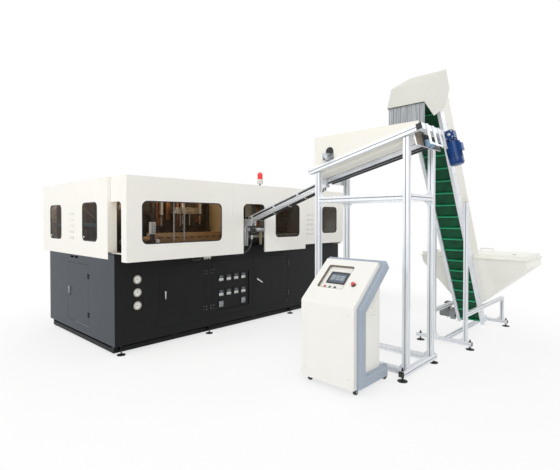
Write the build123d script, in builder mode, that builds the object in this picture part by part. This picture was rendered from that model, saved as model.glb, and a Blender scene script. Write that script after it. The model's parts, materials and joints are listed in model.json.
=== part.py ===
from build123d import *
from math import atan2, cos, degrees, pi, radians, sin, sqrt, tan
import os

os.makedirs("parts", exist_ok=True)

# A stretch blow moulding machine with its preform feed line.
# Origin: floor point under the front left levelling foot of the machine.
# X runs right along the machine front, Y runs to the back, Z is up. Millimetres.

# Machine base
base_length = 4420.0
base_depth = 2130.0
base_top = 1200.0
casing_bottom = 121.0
casing_sheet = 3.0
deck_plate = 12.0
foot_inset_x = 103.0
foot_inset_y = 50.0
foot_pitch_first = 1284.0
foot_pitch_second = 1701.0
skid_bottom = 32.0
skid_height = 55.0
skid_width = 50.0
skid_setback = 20.0
frame_tube = 60.0
spacer_length = 90.0

# Levelling feet of every unit
foot_pad_radius = 50.0
foot_pad_height = 16.0
foot_stud_radius = 8.0
foot_nut_radius = 15.0
foot_nut_height = 10.0
foot_stud_top = 118.0
stud_gap = 0.5
lug_thickness = 12.0
lug_half_width = 28.0

# Doors of the base
door_gap = 3.0
door_depth = 20.0
door_bottom = 235.0
door_top = 1020.0
left_door_start = 585.0
left_door_width = 695.0
heater_door_start = 1400.0
heater_door_width = 770.0
right_door_start = 2186.0
right_door_width = 782.0
end_door_start = 735.0
end_door_width = 675.0
hinge_radius = 6.0
hinge_pin_radius = 3.0
hinge_length = 60.0
hinge_leaf = 2.5
hinge_reach = 34.0
hinge_inset = 145.0
hinge_gap = 0.4
spindle_radius = 6.0
spindle_gap = 0.4
handle_length = 92.0
lever_length = 132.0
handle_width = 18.0
handle_thickness = 9.0
handle_standoff = 9.0
handle_inset = 72.0
handle_height = 682.0
cam_length = 30.0

# Instruments
gauge_radius = 53.0
gauge_body_radius = 44.0
gauge_offset = 278.0
gauge_heights = (569.0, 725.0, 881.0)
gauge_proud = 12.0
gauge_depth = 45.0
recess_depth = 12.0
recess_start = 88.0
recess_width = 608.0
recess_bottom = 312.0
recess_height = 520.0
controller_size = 92.0
controller_first = 164.0
controller_pitch = 140.0
controller_row_low = 552.0
controller_row_high = 764.0
meter_height = 394.0
controller_proud = 8.0
controller_depth = 60.0

# Upper guards
guard_sheet = 3.0
guard_overhang = 239.0
guard_back_overhang = 270.0
guard_bottom = 1116.0
guard_top = 2104.0
guard_flange = 25.0
end_guard_bottom = 1131.0
end_guard_start = 158.0
guard_corner_inset = 33.0
guard_corner_return = 124.0
guard_door_width = 1536.0
corner_post_inset = 75.0
outrigger_inset = 300.0
corner_sill_width = 30.0
corner_sill_height = 14.0
corner_jamb_width = 111.0
guard_lap = 10.0
side_post_share = 0.55
front_guard_end = 3150.0
right_guard_setback = 59.0
right_guard_end = 4320.0
right_guard_bottom = 1180.0
panel_gap = 2.0
guard_tube = 50.0
corner_opening_top = 1809.0
feed_opening_start = 1775.0
feed_opening_width = 434.0
feed_opening_top = 1826.0
feed_opening_radius = 80.0
window_radius = 70.0
gasket_width = 14.0
gasket_depth = 11.0
pane_depth = 5.0
seat_gap = 0.2
louvre_width = 175.0
louvre_height = 9.0
louvre_rise = 8.0
louvre_pitch = 20.0
louvre_groups = 5
louvre_group_pitch = 80.0
louvre_first = 1342.0
louvre_root = 2.0
louvre_sheet = 1.5

# Beacon on the roof
beacon_x = 2620.0
beacon_y = 300.0
beacon_radius = 50.0
beacon_stem_radius = 12.0
beacon_stem = 85.0
beacon_collar = 75.0
beacon_dome_height = 120.0

# Blowing station on the deck
clamp_start = 430.0
clamp_length = 1500.0
clamp_offset = 620.0
clamp_depth = 620.0
clamp_height = 640.0
clamp_plate = 60.0
tie_bar_radius = 28.0
tie_bar_inset = 75.0
tie_bar_gap = 0.5
platen_thickness = 70.0
platen_lift = 25.0
mould_thickness = 110.0
mould_depth = 330.0
mould_height = 380.0
mould_opening = 240.0
stretch_rod_radius = 14.0
stretch_rod_spread = 300.0
stretch_offset = 330.0
stretch_height = 700.0
track_offset = 210.0
track_height = 150.0
track_radius = 38.0
holder_radius = 15.0
holder_pitch = 76.2
holder_count = 14
oven_start = 2450.0
oven_length = 1500.0
oven_offset = 480.0
oven_depth = 520.0
oven_height = 560.0
lamp_radius = 8.0
lamp_count = 7

base_left = -foot_inset_x
base_right = base_left + base_length
base_front = -foot_inset_y
base_back = base_front + base_depth
casing_top = base_top - deck_plate
foot_xs = (
    0.0,
    foot_pitch_first,
    foot_pitch_first + foot_pitch_second,
    base_length - 2 * foot_inset_x,
)
foot_ys = (0.0, base_depth - 2 * foot_inset_y)
guard_front = base_front - guard_overhang
guard_back = base_back + guard_back_overhang
guard_left = base_left - guard_sheet
guard_frame_top = guard_top - guard_sheet
guard_right = base_left + right_guard_end


def bar(x0, x1, y0, y1, z0, z1, mode=Mode.ADD):
    """A straight bar or plate between two opposite corners."""
    with Locations(((x0 + x1) / 2, (y0 + y1) / 2, (z0 + z1) / 2)):
        Box(abs(x1 - x0), abs(y1 - y0), abs(z1 - z0), mode=mode)


def rod(start, end, radius, mode=Mode.ADD):
    """A round rod between two points."""
    run = Vector(*end) - Vector(*start)
    with BuildSketch(Plane(origin=start, z_dir=run.normalized())) as section:
        Circle(radius)
    extrude(section.sketch, amount=run.length, mode=mode)


# Welded base frame: skid, spacers, posts and the deck plate
skid_left = base_left + skid_setback
skid_right = base_right - skid_setback
skid_front = foot_stud_radius + 12.0
skid_back = foot_ys[1] - skid_front
skid_top = skid_bottom + skid_height
inner_left = base_left + casing_sheet
inner_right = base_right - casing_sheet
lug_bottom = skid_top - lug_thickness - 8.0
spacer_starts = (skid_left, 707.0, 2122.0, 3448.0, skid_right - spacer_length)

with BuildPart() as base_frame:
    for y0, y1 in ((skid_front, skid_front + skid_width), (skid_back - skid_width, skid_back)):
        bar(skid_left, skid_right, y0, y1, skid_bottom, skid_top)
        bar(inner_left, inner_right, y0, y1, casing_bottom, casing_bottom + frame_tube)
    for x0 in (skid_left, skid_right - skid_width):
        bar(x0, x0 + skid_width, skid_front, skid_back, skid_bottom, skid_top)
        bar(x0, x0 + skid_width, skid_front, skid_back, casing_bottom, casing_bottom + frame_tube)
    for x in spacer_starts:
        for y0 in (skid_front, skid_back - skid_width):
            bar(x, x + spacer_length, y0, y0 + skid_width, skid_top, casing_bottom)
    for x in foot_xs:
        for y, side in zip(foot_ys, (-1, 1)):
            face = skid_front if side < 0 else skid_back
            with BuildSketch(Plane.XY.offset(lug_bottom)):
                with Locations((x, (face + y + side * lug_half_width) / 2)):
                    Rectangle(2 * lug_half_width, abs(face - y - side * lug_half_width))
                with Locations((x, y)):
                    Circle(foot_stud_radius + stud_gap, mode=Mode.SUBTRACT)
            extrude(amount=lug_thickness)
    for x in (skid_left, heater_door_start + base_left - 100.0, skid_right - frame_tube):
        for y0 in (skid_front, skid_back - frame_tube):
            bar(x, x + frame_tube, y0, y0 + frame_tube, casing_bottom, casing_top)
    bar(base_left, base_right, base_front, base_back, casing_top, base_top)
base_frame.part.label = "base_frame"
export_step(base_frame.part, "parts/base_frame.step")

# Levelling feet: pad, stud and lock nuts, one solid each place

def levelling_foot(x, y, stud_top, nut_seats):
    """A round pad on the floor, its threaded stud and the nuts on it."""
    with BuildSketch(Plane(origin=(x, y, 0), x_dir=(1, 0, 0), z_dir=(0, -1, 0))) as half_section:
        with BuildLine():
            Polyline(
                (0, 0),
                (foot_pad_radius, 0),
                (foot_pad_radius, 0.4 * foot_pad_height),
                (0.45 * foot_pad_radius, foot_pad_height),
                (foot_stud_radius, foot_pad_height + 4),
                (foot_stud_radius, stud_top),
                (0, stud_top),
                close=True,
            )
        make_face()
    revolve(half_section.sketch, axis=Axis((x, y, 0), (0, 0, 1)))
    for seat in nut_seats:
        with BuildSketch(Plane.XY.offset(seat)) as nut:
            with Locations((x, y)):
                RegularPolygon(foot_nut_radius, 6)
        extrude(nut.sketch, amount=foot_nut_height)


# Lower casing: black sheet on the front, right and back
left_door_hinge = base_left + left_door_start + left_door_width
heater_door_hinge = base_left + heater_door_start
right_door_hinge = base_left + right_door_start + right_door_width
end_door_hinge = base_front + end_door_start
gauge_x = base_left + gauge_offset
slot_start = 1060.0
slot_length = 110.0
slot_pitch = 150.0
slot_height = 26.0
slot_centre = 1100.0

with BuildPart() as lower_casing:
    bar(base_left + casing_sheet, base_right, base_front, base_back, casing_bottom, casing_top)
    bar(
        base_left + casing_sheet,
        base_right - casing_sheet,
        base_front + casing_sheet,
        base_back - casing_sheet,
        casing_bottom,
        casing_top,
        mode=Mode.SUBTRACT,
    )
    for start, width in (
        (left_door_start, left_door_width),
        (heater_door_start, heater_door_width),
        (right_door_start, right_door_width),
    ):
        bar(
            base_left + start - door_gap,
            base_left + start + width + door_gap,
            base_front,
            base_front + casing_sheet,
            door_bottom - door_gap,
            door_top + door_gap,
            mode=Mode.SUBTRACT,
        )
    for z in gauge_heights:
        rod(
            (gauge_x, base_front, z),
            (gauge_x, base_front + casing_sheet, z),
            gauge_body_radius + seat_gap,
            mode=Mode.SUBTRACT,
        )
lower_casing.part.label = "lower_casing"
export_step(lower_casing.part, "parts/lower_casing.step")

# Left end casing with its door opening and two cable slots
with BuildPart() as left_end_casing:
    bar(base_left, base_left + casing_sheet, base_front, base_back, casing_bottom, casing_top)
    bar(
        base_left,
        base_left + casing_sheet,
        end_door_hinge - door_gap,
        end_door_hinge + end_door_width + door_gap,
        door_bottom - door_gap,
        door_top + door_gap,
        mode=Mode.SUBTRACT,
    )
    for i in range(2):
        y = base_front + slot_start + i * slot_pitch
        bar(
            base_left,
            base_left + casing_sheet,
            y,
            y + slot_length,
            slot_centre - slot_height / 2,
            slot_centre + slot_height / 2,
            mode=Mode.SUBTRACT,
        )
left_end_casing.part.label = "left_end_casing"
export_step(left_end_casing.part, "parts/left_end_casing.step")

# Door planes: local x runs over the door from its hinge edge, local y points outward
left_door_plane = Plane(origin=(left_door_hinge, base_front, 0), x_dir=(-1, 0, 0), z_dir=(0, 0, 1))
heater_door_plane = Plane(origin=(heater_door_hinge, base_front, 0), x_dir=(1, 0, 0), z_dir=(0, 0, -1))
right_door_plane = Plane(origin=(right_door_hinge, base_front, 0), x_dir=(-1, 0, 0), z_dir=(0, 0, 1))
end_door_plane = Plane(origin=(base_left, end_door_hinge, 0), x_dir=(0, 1, 0), z_dir=(0, 0, 1))
hinge_axis_x = -door_gap / 2
hinge_neck = hinge_radius + 1.5
hinge_heights = (door_bottom + hinge_inset, door_top - hinge_inset)
knuckle = hinge_length / 3


def door_hinge_half(up, moving):
    """Both hinge halves of one side of a door, in its door plane."""
    side = 1 if moving else -1
    thirds = (0,) if moving else (-1, 1)
    for height in hinge_heights:
        z = up * height
        bar(
            hinge_axis_x + side * hinge_neck,
            hinge_axis_x + side * hinge_reach,
            0,
            hinge_leaf,
            z - hinge_length / 2,
            z + hinge_length / 2,
        )
        for third in thirds:
            middle = z + third * knuckle
            half = knuckle / 2 - (hinge_gap if moving else 0)
            bar(hinge_axis_x, hinge_axis_x + side * hinge_neck, 0, hinge_leaf, middle - half, middle + half)
            with Locations((hinge_axis_x, hinge_radius, middle)):
                Cylinder(hinge_radius, 2 * half)
        with Locations((hinge_axis_x, hinge_radius, z)):
            if moving:
                Cylinder(hinge_pin_radius + hinge_gap, hinge_length, mode=Mode.SUBTRACT)
            else:
                Cylinder(hinge_pin_radius, hinge_length)


def door_pan(up, width):
    """A folded sheet door with its return flanges, in its door plane."""
    bar(0, width, -door_depth, 0, up * door_bottom, up * door_top)
    bar(
        casing_sheet,
        width - casing_sheet,
        -door_depth,
        -casing_sheet,
        up * (door_bottom + casing_sheet),
        up * (door_top - casing_sheet),
        mode=Mode.SUBTRACT,
    )


lock_radius = 11.0
lock_proud = 8.0
lock_drop = 108.0


def door_lock_places(width):
    """Spindle bore and the lock barrel under it, in the door plane."""
    with Locations((width - handle_inset, -casing_sheet / 2, handle_height)):
        Cylinder(spindle_radius + spindle_gap, 2 * casing_sheet, rotation=(90, 0, 0), mode=Mode.SUBTRACT)
    lock_middle = (lock_proud - door_depth + casing_sheet) / 2
    with Locations((width - handle_inset, lock_middle, handle_height - lock_drop)):
        Cylinder(lock_radius, lock_proud + door_depth - casing_sheet, rotation=(90, 0, 0))


with BuildPart() as front_door_left:
    with Locations(left_door_plane):
        door_pan(1, left_door_width)
        door_hinge_half(1, True)
        door_lock_places(left_door_width)
front_door_left.part.label = "front_door_left"
export_step(front_door_left.part, "parts/front_door_left.step")

with BuildPart() as front_door_right:
    with Locations(right_door_plane):
        door_pan(1, right_door_width)
        door_hinge_half(1, True)
        door_lock_places(right_door_width)
front_door_right.part.label = "front_door_right"
export_step(front_door_right.part, "parts/front_door_right.step")

with BuildPart() as end_door:
    with Locations(end_door_plane):
        door_pan(1, end_door_width)
        door_hinge_half(1, True)
        door_lock_places(end_door_width)
end_door.part.label = "end_door"
export_step(end_door.part, "parts/end_door.step")

# Heater panel door: a sunk instrument panel in a plain door
controller_columns = 4
meter_columns = (0, controller_columns - 1)
controller_places = [
    (controller_first + i * controller_pitch, z)
    for z in (controller_row_low, controller_row_high)
    for i in range(controller_columns)
]
meter_places = [(controller_first + i * controller_pitch, meter_height) for i in meter_columns]
instrument_places = controller_places + meter_places
controller_body = controller_size - 8.0

with BuildPart() as heater_panel_door:
    with Locations(heater_door_plane):
        door_pan(-1, heater_door_width)
        bar(
            recess_start - casing_sheet,
            recess_start + recess_width + casing_sheet,
            -recess_depth - casing_sheet,
            0,
            -recess_bottom + casing_sheet,
            -recess_bottom - recess_height - casing_sheet,
        )
        bar(
            recess_start,
            recess_start + recess_width,
            -recess_depth,
            0,
            -recess_bottom,
            -recess_bottom - recess_height,
            mode=Mode.SUBTRACT,
        )
        for x, z in instrument_places:
            half = controller_body / 2 + seat_gap
            bar(
                x - half,
                x + half,
                -recess_depth - casing_sheet,
                -recess_depth,
                half - z,
                -half - z,
                mode=Mode.SUBTRACT,
            )
        door_hinge_half(-1, True)
heater_panel_door.part.label = "heater_panel_door"
export_step(heater_panel_door.part, "parts/heater_panel_door.step")

with BuildPart() as temperature_controllers:
    with Locations(heater_door_plane):
        for x, z in instrument_places:
            size = controller_size / 2
            body = controller_body / 2
            bar(x - size, x + size, -recess_depth, controller_proud - recess_depth, size - z, -size - z)
            bar(x - body, x + body, -recess_depth - controller_depth, -recess_depth, body - z, -body - z)
temperature_controllers.part.label = "temperature_controllers"
export_step(temperature_controllers.part, "parts/temperature_controllers.step")

# Fixed hinge halves with their pins
with BuildPart() as casing_hinges:
    for plane, up in (
        (left_door_plane, 1),
        (heater_door_plane, -1),
        (right_door_plane, 1),
        (end_door_plane, 1),
    ):
        with Locations(plane):
            door_hinge_half(up, False)
casing_hinges.part.label = "casing_hinges"
export_step(casing_hinges.part, "parts/casing_hinges.step")


def turn_handle(spindle, across, outward, angle, length):
    """A lever on its spindle: hub, tapered grip and the short cam inside the door."""
    face = Plane(origin=spindle, x_dir=across, z_dir=outward)
    grip = length - handle_width / 2
    turn = Vector(cos(radians(angle)), sin(radians(angle)))
    with BuildSketch(face.offset(handle_standoff)) as lever:
        Circle(0.62 * handle_width)
        with Locations(turn * grip):
            Circle(0.42 * handle_width)
        make_hull()
    extrude(lever.sketch, amount=handle_thickness)
    with BuildSketch(face.offset(2 * seat_gap)) as hub:
        Circle(0.62 * handle_width)
    extrude(hub.sketch, amount=handle_standoff - 2 * seat_gap)
    with BuildSketch(face.offset(-door_depth + casing_sheet)) as spindle_end:
        Circle(spindle_radius)
    extrude(spindle_end.sketch, amount=door_depth + handle_standoff - casing_sheet)
    with BuildSketch(face.offset(-door_depth + casing_sheet)) as cam:
        Circle(1.6 * spindle_radius)
        with Locations(turn * cam_length):
            Circle(spindle_radius)
        make_hull()
    extrude(cam.sketch, amount=4)


left_spindle = (left_door_hinge - left_door_width + handle_inset, base_front, handle_height)
right_spindle = (right_door_hinge - right_door_width + handle_inset, base_front, handle_height)
end_spindle = (base_left, end_door_hinge + end_door_width - handle_inset, handle_height)
lever_angle = -30.0

with BuildPart() as left_door_handle:
    turn_handle(left_spindle, (1, 0, 0), (0, -1, 0), -90, handle_length)
left_door_handle.part.label = "left_door_handle"
export_step(left_door_handle.part, "parts/left_door_handle.step")

with BuildPart() as right_door_lever:
    turn_handle(right_spindle, (1, 0, 0), (0, -1, 0), lever_angle, lever_length)
right_door_lever.part.label = "right_door_lever"
export_step(right_door_lever.part, "parts/right_door_lever.step")

with BuildPart() as end_door_handle:
    turn_handle(end_spindle, (0, -1, 0), (-1, 0, 0), -90, handle_length)
end_door_handle.part.label = "end_door_handle"
export_step(end_door_handle.part, "parts/end_door_handle.step")

# Pressure gauges let into the front casing
with BuildPart() as pressure_gauges:
    for z in gauge_heights:
        rod((gauge_x, base_front - gauge_proud, z), (gauge_x, base_front, z), gauge_radius)
        rod((gauge_x, base_front, z), (gauge_x, base_front + gauge_depth, z), gauge_body_radius)
        rod(
            (gauge_x, base_front - gauge_proud, z),
            (gauge_x, base_front - gauge_proud + 4, z),
            gauge_radius - 6,
            mode=Mode.SUBTRACT,
        )
pressure_gauges.part.label = "pressure_gauges"
export_step(pressure_gauges.part, "parts/pressure_gauges.step")

# Guard frame: cream square tube standing on the deck and on outriggers
tube_front = guard_front + guard_flange
tube_back = guard_back - guard_flange
tube_left = base_left - guard_sheet + guard_flange
tube_right = guard_right - guard_flange
step_x = base_left + front_guard_end
opening_left = base_left + feed_opening_start
opening_right = opening_left + feed_opening_width
door_left = base_left + guard_corner_inset
door_right = door_left + guard_door_width
rail_bottom = base_top - guard_tube
corner_tube_left = door_left + guard_sheet + seat_gap
front_post_xs = (
    door_left + corner_post_inset,
    door_right + panel_gap + guard_flange,
    opening_right + corner_post_inset,
    step_x - guard_flange - guard_tube,
)
outrigger_xs = (front_post_xs[0], front_post_xs[1], opening_right + outrigger_inset, front_post_xs[3])
rear_post_xs = (
    tube_left,
    base_left + base_length / 3,
    base_left + 2 * base_length / 3,
    tube_right - guard_tube,
)
frame_top_low = guard_frame_top - guard_tube

# Hinge of the front guard door, inside its top edge
guard_hinge_radius = 5.0
guard_hinge_y = guard_front + guard_sheet + guard_hinge_radius + 1.0
guard_hinge_z = guard_top - guard_hinge_radius - 3.0
guard_hinge_pin = 2.5
guard_hinge_length = 120.0
guard_hinge_offsets = (220.0, 1196.0)
guard_knuckle = guard_hinge_length / 3

with BuildPart() as upper_frame:
    for x in front_post_xs:
        bar(x, x + guard_tube, tube_front, tube_front + guard_tube, rail_bottom, guard_frame_top)
    for x in outrigger_xs:
        bar(x, x + guard_tube, tube_front, base_front, rail_bottom, base_top)
    for x0, x1 in (
        (corner_tube_left, front_post_xs[1] + guard_tube),
        (front_post_xs[2], front_post_xs[3] + guard_tube),
    ):
        bar(x0, x1, tube_front, tube_front + guard_tube, rail_bottom, base_top)
    for x in rear_post_xs:
        bar(x, x + guard_tube, tube_back - guard_tube, tube_back, rail_bottom, guard_frame_top)
        bar(x, x + guard_tube, base_back, tube_back, rail_bottom, base_top)
    bar(tube_left, tube_right, tube_back - guard_tube, tube_back, frame_top_low, guard_frame_top)
    bar(
        corner_tube_left,
        step_x - guard_flange,
        tube_front,
        tube_front + guard_tube,
        frame_top_low,
        guard_frame_top,
    )
    side_post_y = base_front + end_guard_start + guard_flange
    for y in (side_post_y, base_front + side_post_share * base_depth):
        bar(tube_left, tube_left + guard_tube, y, y + guard_tube, base_top, guard_frame_top)
    bar(tube_left, tube_left + guard_tube, side_post_y, tube_back, frame_top_low, guard_frame_top)
    side_post_back = side_post_y + guard_tube
    for width, z0, z1 in (
        (guard_tube, frame_top_low, guard_frame_top),
        (corner_sill_width, base_top, base_top + corner_sill_height),
    ):
        bar(corner_tube_left, corner_tube_left + width, tube_front, side_post_back, z0, z1)
    for x in (front_post_xs[3], tube_right - guard_tube):
        bar(x, x + guard_tube, tube_front + right_guard_setback, tube_back, frame_top_low, guard_frame_top)
    bar(
        front_post_xs[3],
        tube_right,
        tube_front + right_guard_setback,
        tube_front + right_guard_setback + guard_tube,
        frame_top_low,
        guard_frame_top,
    )
    right_post_y = tube_front + right_guard_setback
    right_post_x = tube_right - guard_tube
    bar(right_post_x, tube_right, right_post_y, right_post_y + guard_tube, rail_bottom, guard_frame_top)
    bar(right_post_x, tube_right, right_post_y, base_front, rail_bottom, base_top)
    for x in guard_hinge_offsets:
        x0 = door_left + x + guard_knuckle + hinge_gap
        x1 = door_left + x + 2 * guard_knuckle - hinge_gap
        bar(x0, x1, guard_hinge_y, tube_front, guard_hinge_z - 4, guard_hinge_z + 4)
        rod((x0, guard_hinge_y, guard_hinge_z), (x1, guard_hinge_y, guard_hinge_z), guard_hinge_radius)
        bore = guard_hinge_pin + hinge_gap
        rod((x0, guard_hinge_y, guard_hinge_z), (x1, guard_hinge_y, guard_hinge_z), bore, mode=Mode.SUBTRACT)
upper_frame.part.label = "upper_frame"
export_step(upper_frame.part, "parts/upper_frame.step")

# Windows: centre, size and place of every opening in the guards
front_window = (801.0, 1566.5, 1166.0, 507.0)
feed_window = (2714.5, 1581.5, 565.0, 515.0)
right_window = (3897.0, 1593.0, 434.0, 470.0)
end_window_front = (673.5, 1572.0, 459.0, 492.0)
end_window_back = (1863.0, 1566.0, 454.0, 488.0)
rear_windows = ((1100.0, 1566.0, 1000.0, 500.0), (3250.0, 1566.0, 1000.0, 500.0))


def face_outline(plane, window, inset, thickness, start, mode=Mode.ADD):
    """Rounded block in a guard plane, set in evenly from a window opening."""
    along, height, width, tall = window
    with BuildSketch(plane.offset(start)) as outline:
        with Locations((along, height)):
            RectangleRounded(width - 2 * inset, tall - 2 * inset, window_radius - inset)
    extrude(outline.sketch, amount=thickness, mode=mode)


def window_hole(plane, window):
    """The opening for one window through a guard sheet."""
    face_outline(plane, window, 0, 3 * guard_sheet, -2 * guard_sheet, mode=Mode.SUBTRACT)


def gasket(plane, window):
    """Rubber ring round the pane, inside the guard opening, with its outer lip."""
    middle = -guard_sheet / 2
    face_outline(plane, window, seat_gap, gasket_depth, middle - gasket_depth / 2)
    face_outline(plane, window, gasket_width, gasket_depth, middle - gasket_depth / 2, mode=Mode.SUBTRACT)


def pane(plane, window):
    """Tinted pane held inside its gasket."""
    middle = -guard_sheet / 2
    face_outline(plane, window, gasket_width, pane_depth, middle - pane_depth / 2)


def louvre(plane, along, height):
    """One pressed louvre: a slot with its raised hood above it."""
    with BuildSketch(plane.offset(-2 * guard_sheet)) as slot:
        with Locations((along, height)):
            SlotOverall(louvre_width, louvre_height)
    extrude(slot.sketch, amount=3 * guard_sheet, mode=Mode.SUBTRACT)
    hood_plane = Plane(
        origin=plane.from_local_coords((along - louvre_width / 2 + louvre_height, height, 0)),
        x_dir=plane.z_dir,
        z_dir=plane.x_dir,
    )
    with BuildSketch(hood_plane) as hood:
        with BuildLine():
            Polyline(
                (-guard_sheet, louvre_height / 2 + louvre_root),
                (0, louvre_height / 2 + louvre_root),
                (louvre_rise, -louvre_height / 4),
                (louvre_rise - louvre_sheet, -louvre_height / 2),
                (-guard_sheet, louvre_height / 4),
                close=True,
            )
        make_face()
    extrude(hood.sketch, amount=louvre_width - 2 * louvre_height)


def louvre_bank(plane, along):
    """Groups of louvres, one group above the other."""
    for group in range(louvre_groups):
        for row in (0, 1):
            louvre(plane, along, louvre_first + group * louvre_group_pitch + row * louvre_pitch)


# Guard planes: local x runs along the guard, local y is up, z points outward
front_plane = Plane(origin=(base_left, guard_front, 0), x_dir=(1, 0, 0), z_dir=(0, -1, 0))
right_plane = front_plane.offset(-right_guard_setback)
end_plane = Plane(origin=(guard_left, base_front, 0), x_dir=(0, -1, 0), z_dir=(-1, 0, 0))
rear_plane = Plane(origin=(base_left, guard_back, 0), x_dir=(-1, 0, 0), z_dir=(0, 1, 0))


def end_window(window):
    """End guard windows are measured to the back, so their place is turned round."""
    return (-window[0],) + window[1:]


# End guard: left end cover and the corner panel over the open corner
corner_radius = 60.0
corner_front = guard_front + guard_corner_return + panel_gap
end_seam = base_front + end_guard_start
corner_back = end_seam - panel_gap / 2
cover_front = end_seam + panel_gap / 2
cover_top_right = door_left + guard_sheet
jamb_bottom = base_top + corner_sill_height + panel_gap
louvre_end = 1264.0
louvre_right = 3352.0

with BuildPart() as end_guard:
    bar(guard_left, base_left, cover_front, guard_back, end_guard_bottom, guard_top)
    for width, z0, z1 in (
        (corner_jamb_width, jamb_bottom, frame_top_low),
        (cover_top_right - guard_left, frame_top_low, guard_top),
    ):
        bar(guard_left, guard_left + width, cover_front, cover_front + guard_sheet, z0, z1)
    cover_back = tube_back - guard_lap - panel_gap
    bar(guard_left, cover_top_right, cover_front, cover_back, guard_top - guard_sheet, guard_top)
    for window in (end_window_front, end_window_back):
        window_hole(end_plane, end_window(window))
    louvre_bank(end_plane, -louvre_end)
    with BuildSketch(Plane(origin=(door_left, 0, 0), x_dir=(0, 1, 0), z_dir=(1, 0, 0))) as corner:
        with BuildLine():
            arc_start = (corner_front, corner_opening_top - corner_radius)
            arc_end = (corner_front + corner_radius, corner_opening_top)
            Polyline(
                (corner_back, corner_opening_top),
                (corner_back, guard_top),
                (corner_front, guard_top),
                arc_start,
            )
            RadiusArc(arc_start, arc_end, corner_radius)
            Line(arc_end, (corner_back, corner_opening_top))
        make_face()
    extrude(amount=guard_sheet)
end_guard.part.label = "end_guard"
export_step(end_guard.part, "parts/end_guard.step")

# Front guard door: lifts on a hinge inside its top edge
door_pull_offset = 920.0
door_pull_length = 130.0
door_pull_drop = 42.0

with BuildPart() as front_guard_door:
    bar(door_left, door_right, guard_front, guard_front + guard_sheet, guard_bottom, guard_top)
    return_back = guard_front + guard_corner_return
    bar(door_left, door_left + guard_sheet, guard_front, return_back, guard_bottom, guard_top)
    # The right side return ends at the hinge's height, so its corner swings clear of the tube
    bar(door_right - guard_sheet, door_right, guard_front, tube_front - seat_gap, guard_bottom, guard_hinge_z)
    bar(door_left, door_right, guard_front, tube_front - seat_gap, guard_bottom, guard_bottom + guard_sheet)
    for x in guard_hinge_offsets:
        start = door_left + x
        end = start + guard_hinge_length
        bar(start, end, guard_front + guard_sheet, guard_hinge_y, guard_hinge_z - 30, guard_hinge_z - 6.5)
        for x0 in (start, end - guard_knuckle):
            x1 = x0 + guard_knuckle
            bar(x0, x1, guard_front + guard_sheet, guard_hinge_y, guard_hinge_z - 30, guard_hinge_z)
            rod((x0, guard_hinge_y, guard_hinge_z), (x1, guard_hinge_y, guard_hinge_z), guard_hinge_radius)
        rod((start, guard_hinge_y, guard_hinge_z), (end, guard_hinge_y, guard_hinge_z), guard_hinge_pin)
    window_hole(front_plane, front_window)
    pull_start = base_left + door_pull_offset
    for x in (pull_start, pull_start + door_pull_length - 10):
        bar(x, x + 10, guard_front + 8, guard_front + 18, guard_bottom - door_pull_drop, guard_bottom)
    bar(
        pull_start,
        pull_start + door_pull_length,
        guard_front + 8,
        guard_front + 18,
        guard_bottom - door_pull_drop,
        guard_bottom - door_pull_drop + 10,
    )
front_guard_door.part.label = "front_guard_door"
export_step(front_guard_door.part, "parts/front_guard_door.step")

with BuildPart() as guard_door_window:
    gasket(front_plane, front_window)
with BuildPart() as guard_door_pane:
    pane(front_plane, front_window)
guard_door_window_set = Compound(children=[guard_door_window.part, guard_door_pane.part])
guard_door_window_set.label = "guard_door_window"
export_step(guard_door_window_set, "parts/guard_door_window.step")

# Feed guard with the chute opening, fixed beside the lifting door
feed_left = door_right + panel_gap

with BuildPart() as feed_guard:
    bar(feed_left, step_x, guard_front, guard_front + guard_sheet, guard_bottom, guard_top)
    for x in (feed_left, opening_left - guard_sheet, opening_right, step_x - guard_sheet):
        bar(x, x + guard_sheet, guard_front, tube_front, guard_bottom, frame_top_low)
    for x0, x1 in ((feed_left, opening_left), (opening_right, step_x)):
        bar(x0, x1, guard_front, tube_front, guard_bottom, guard_bottom + guard_sheet)
    bar(feed_left, step_x, guard_front, tube_front, guard_top - guard_sheet, guard_top)
    opening_height = feed_opening_top - guard_bottom + feed_opening_radius
    with BuildSketch(front_plane.offset(-guard_sheet)):
        with Locations((feed_opening_start + feed_opening_width / 2, feed_opening_top - opening_height / 2)):
            RectangleRounded(feed_opening_width, opening_height, feed_opening_radius)
    extrude(amount=guard_sheet, mode=Mode.SUBTRACT)
    window_hole(front_plane, feed_window)
feed_guard.part.label = "feed_guard"
export_step(feed_guard.part, "parts/feed_guard.step")

# Guards at the right front, the right end and the back
right_front = guard_front + right_guard_setback
rear_seams = (rear_post_xs[1] + guard_tube / 2, rear_post_xs[2] + guard_tube / 2)

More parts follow.
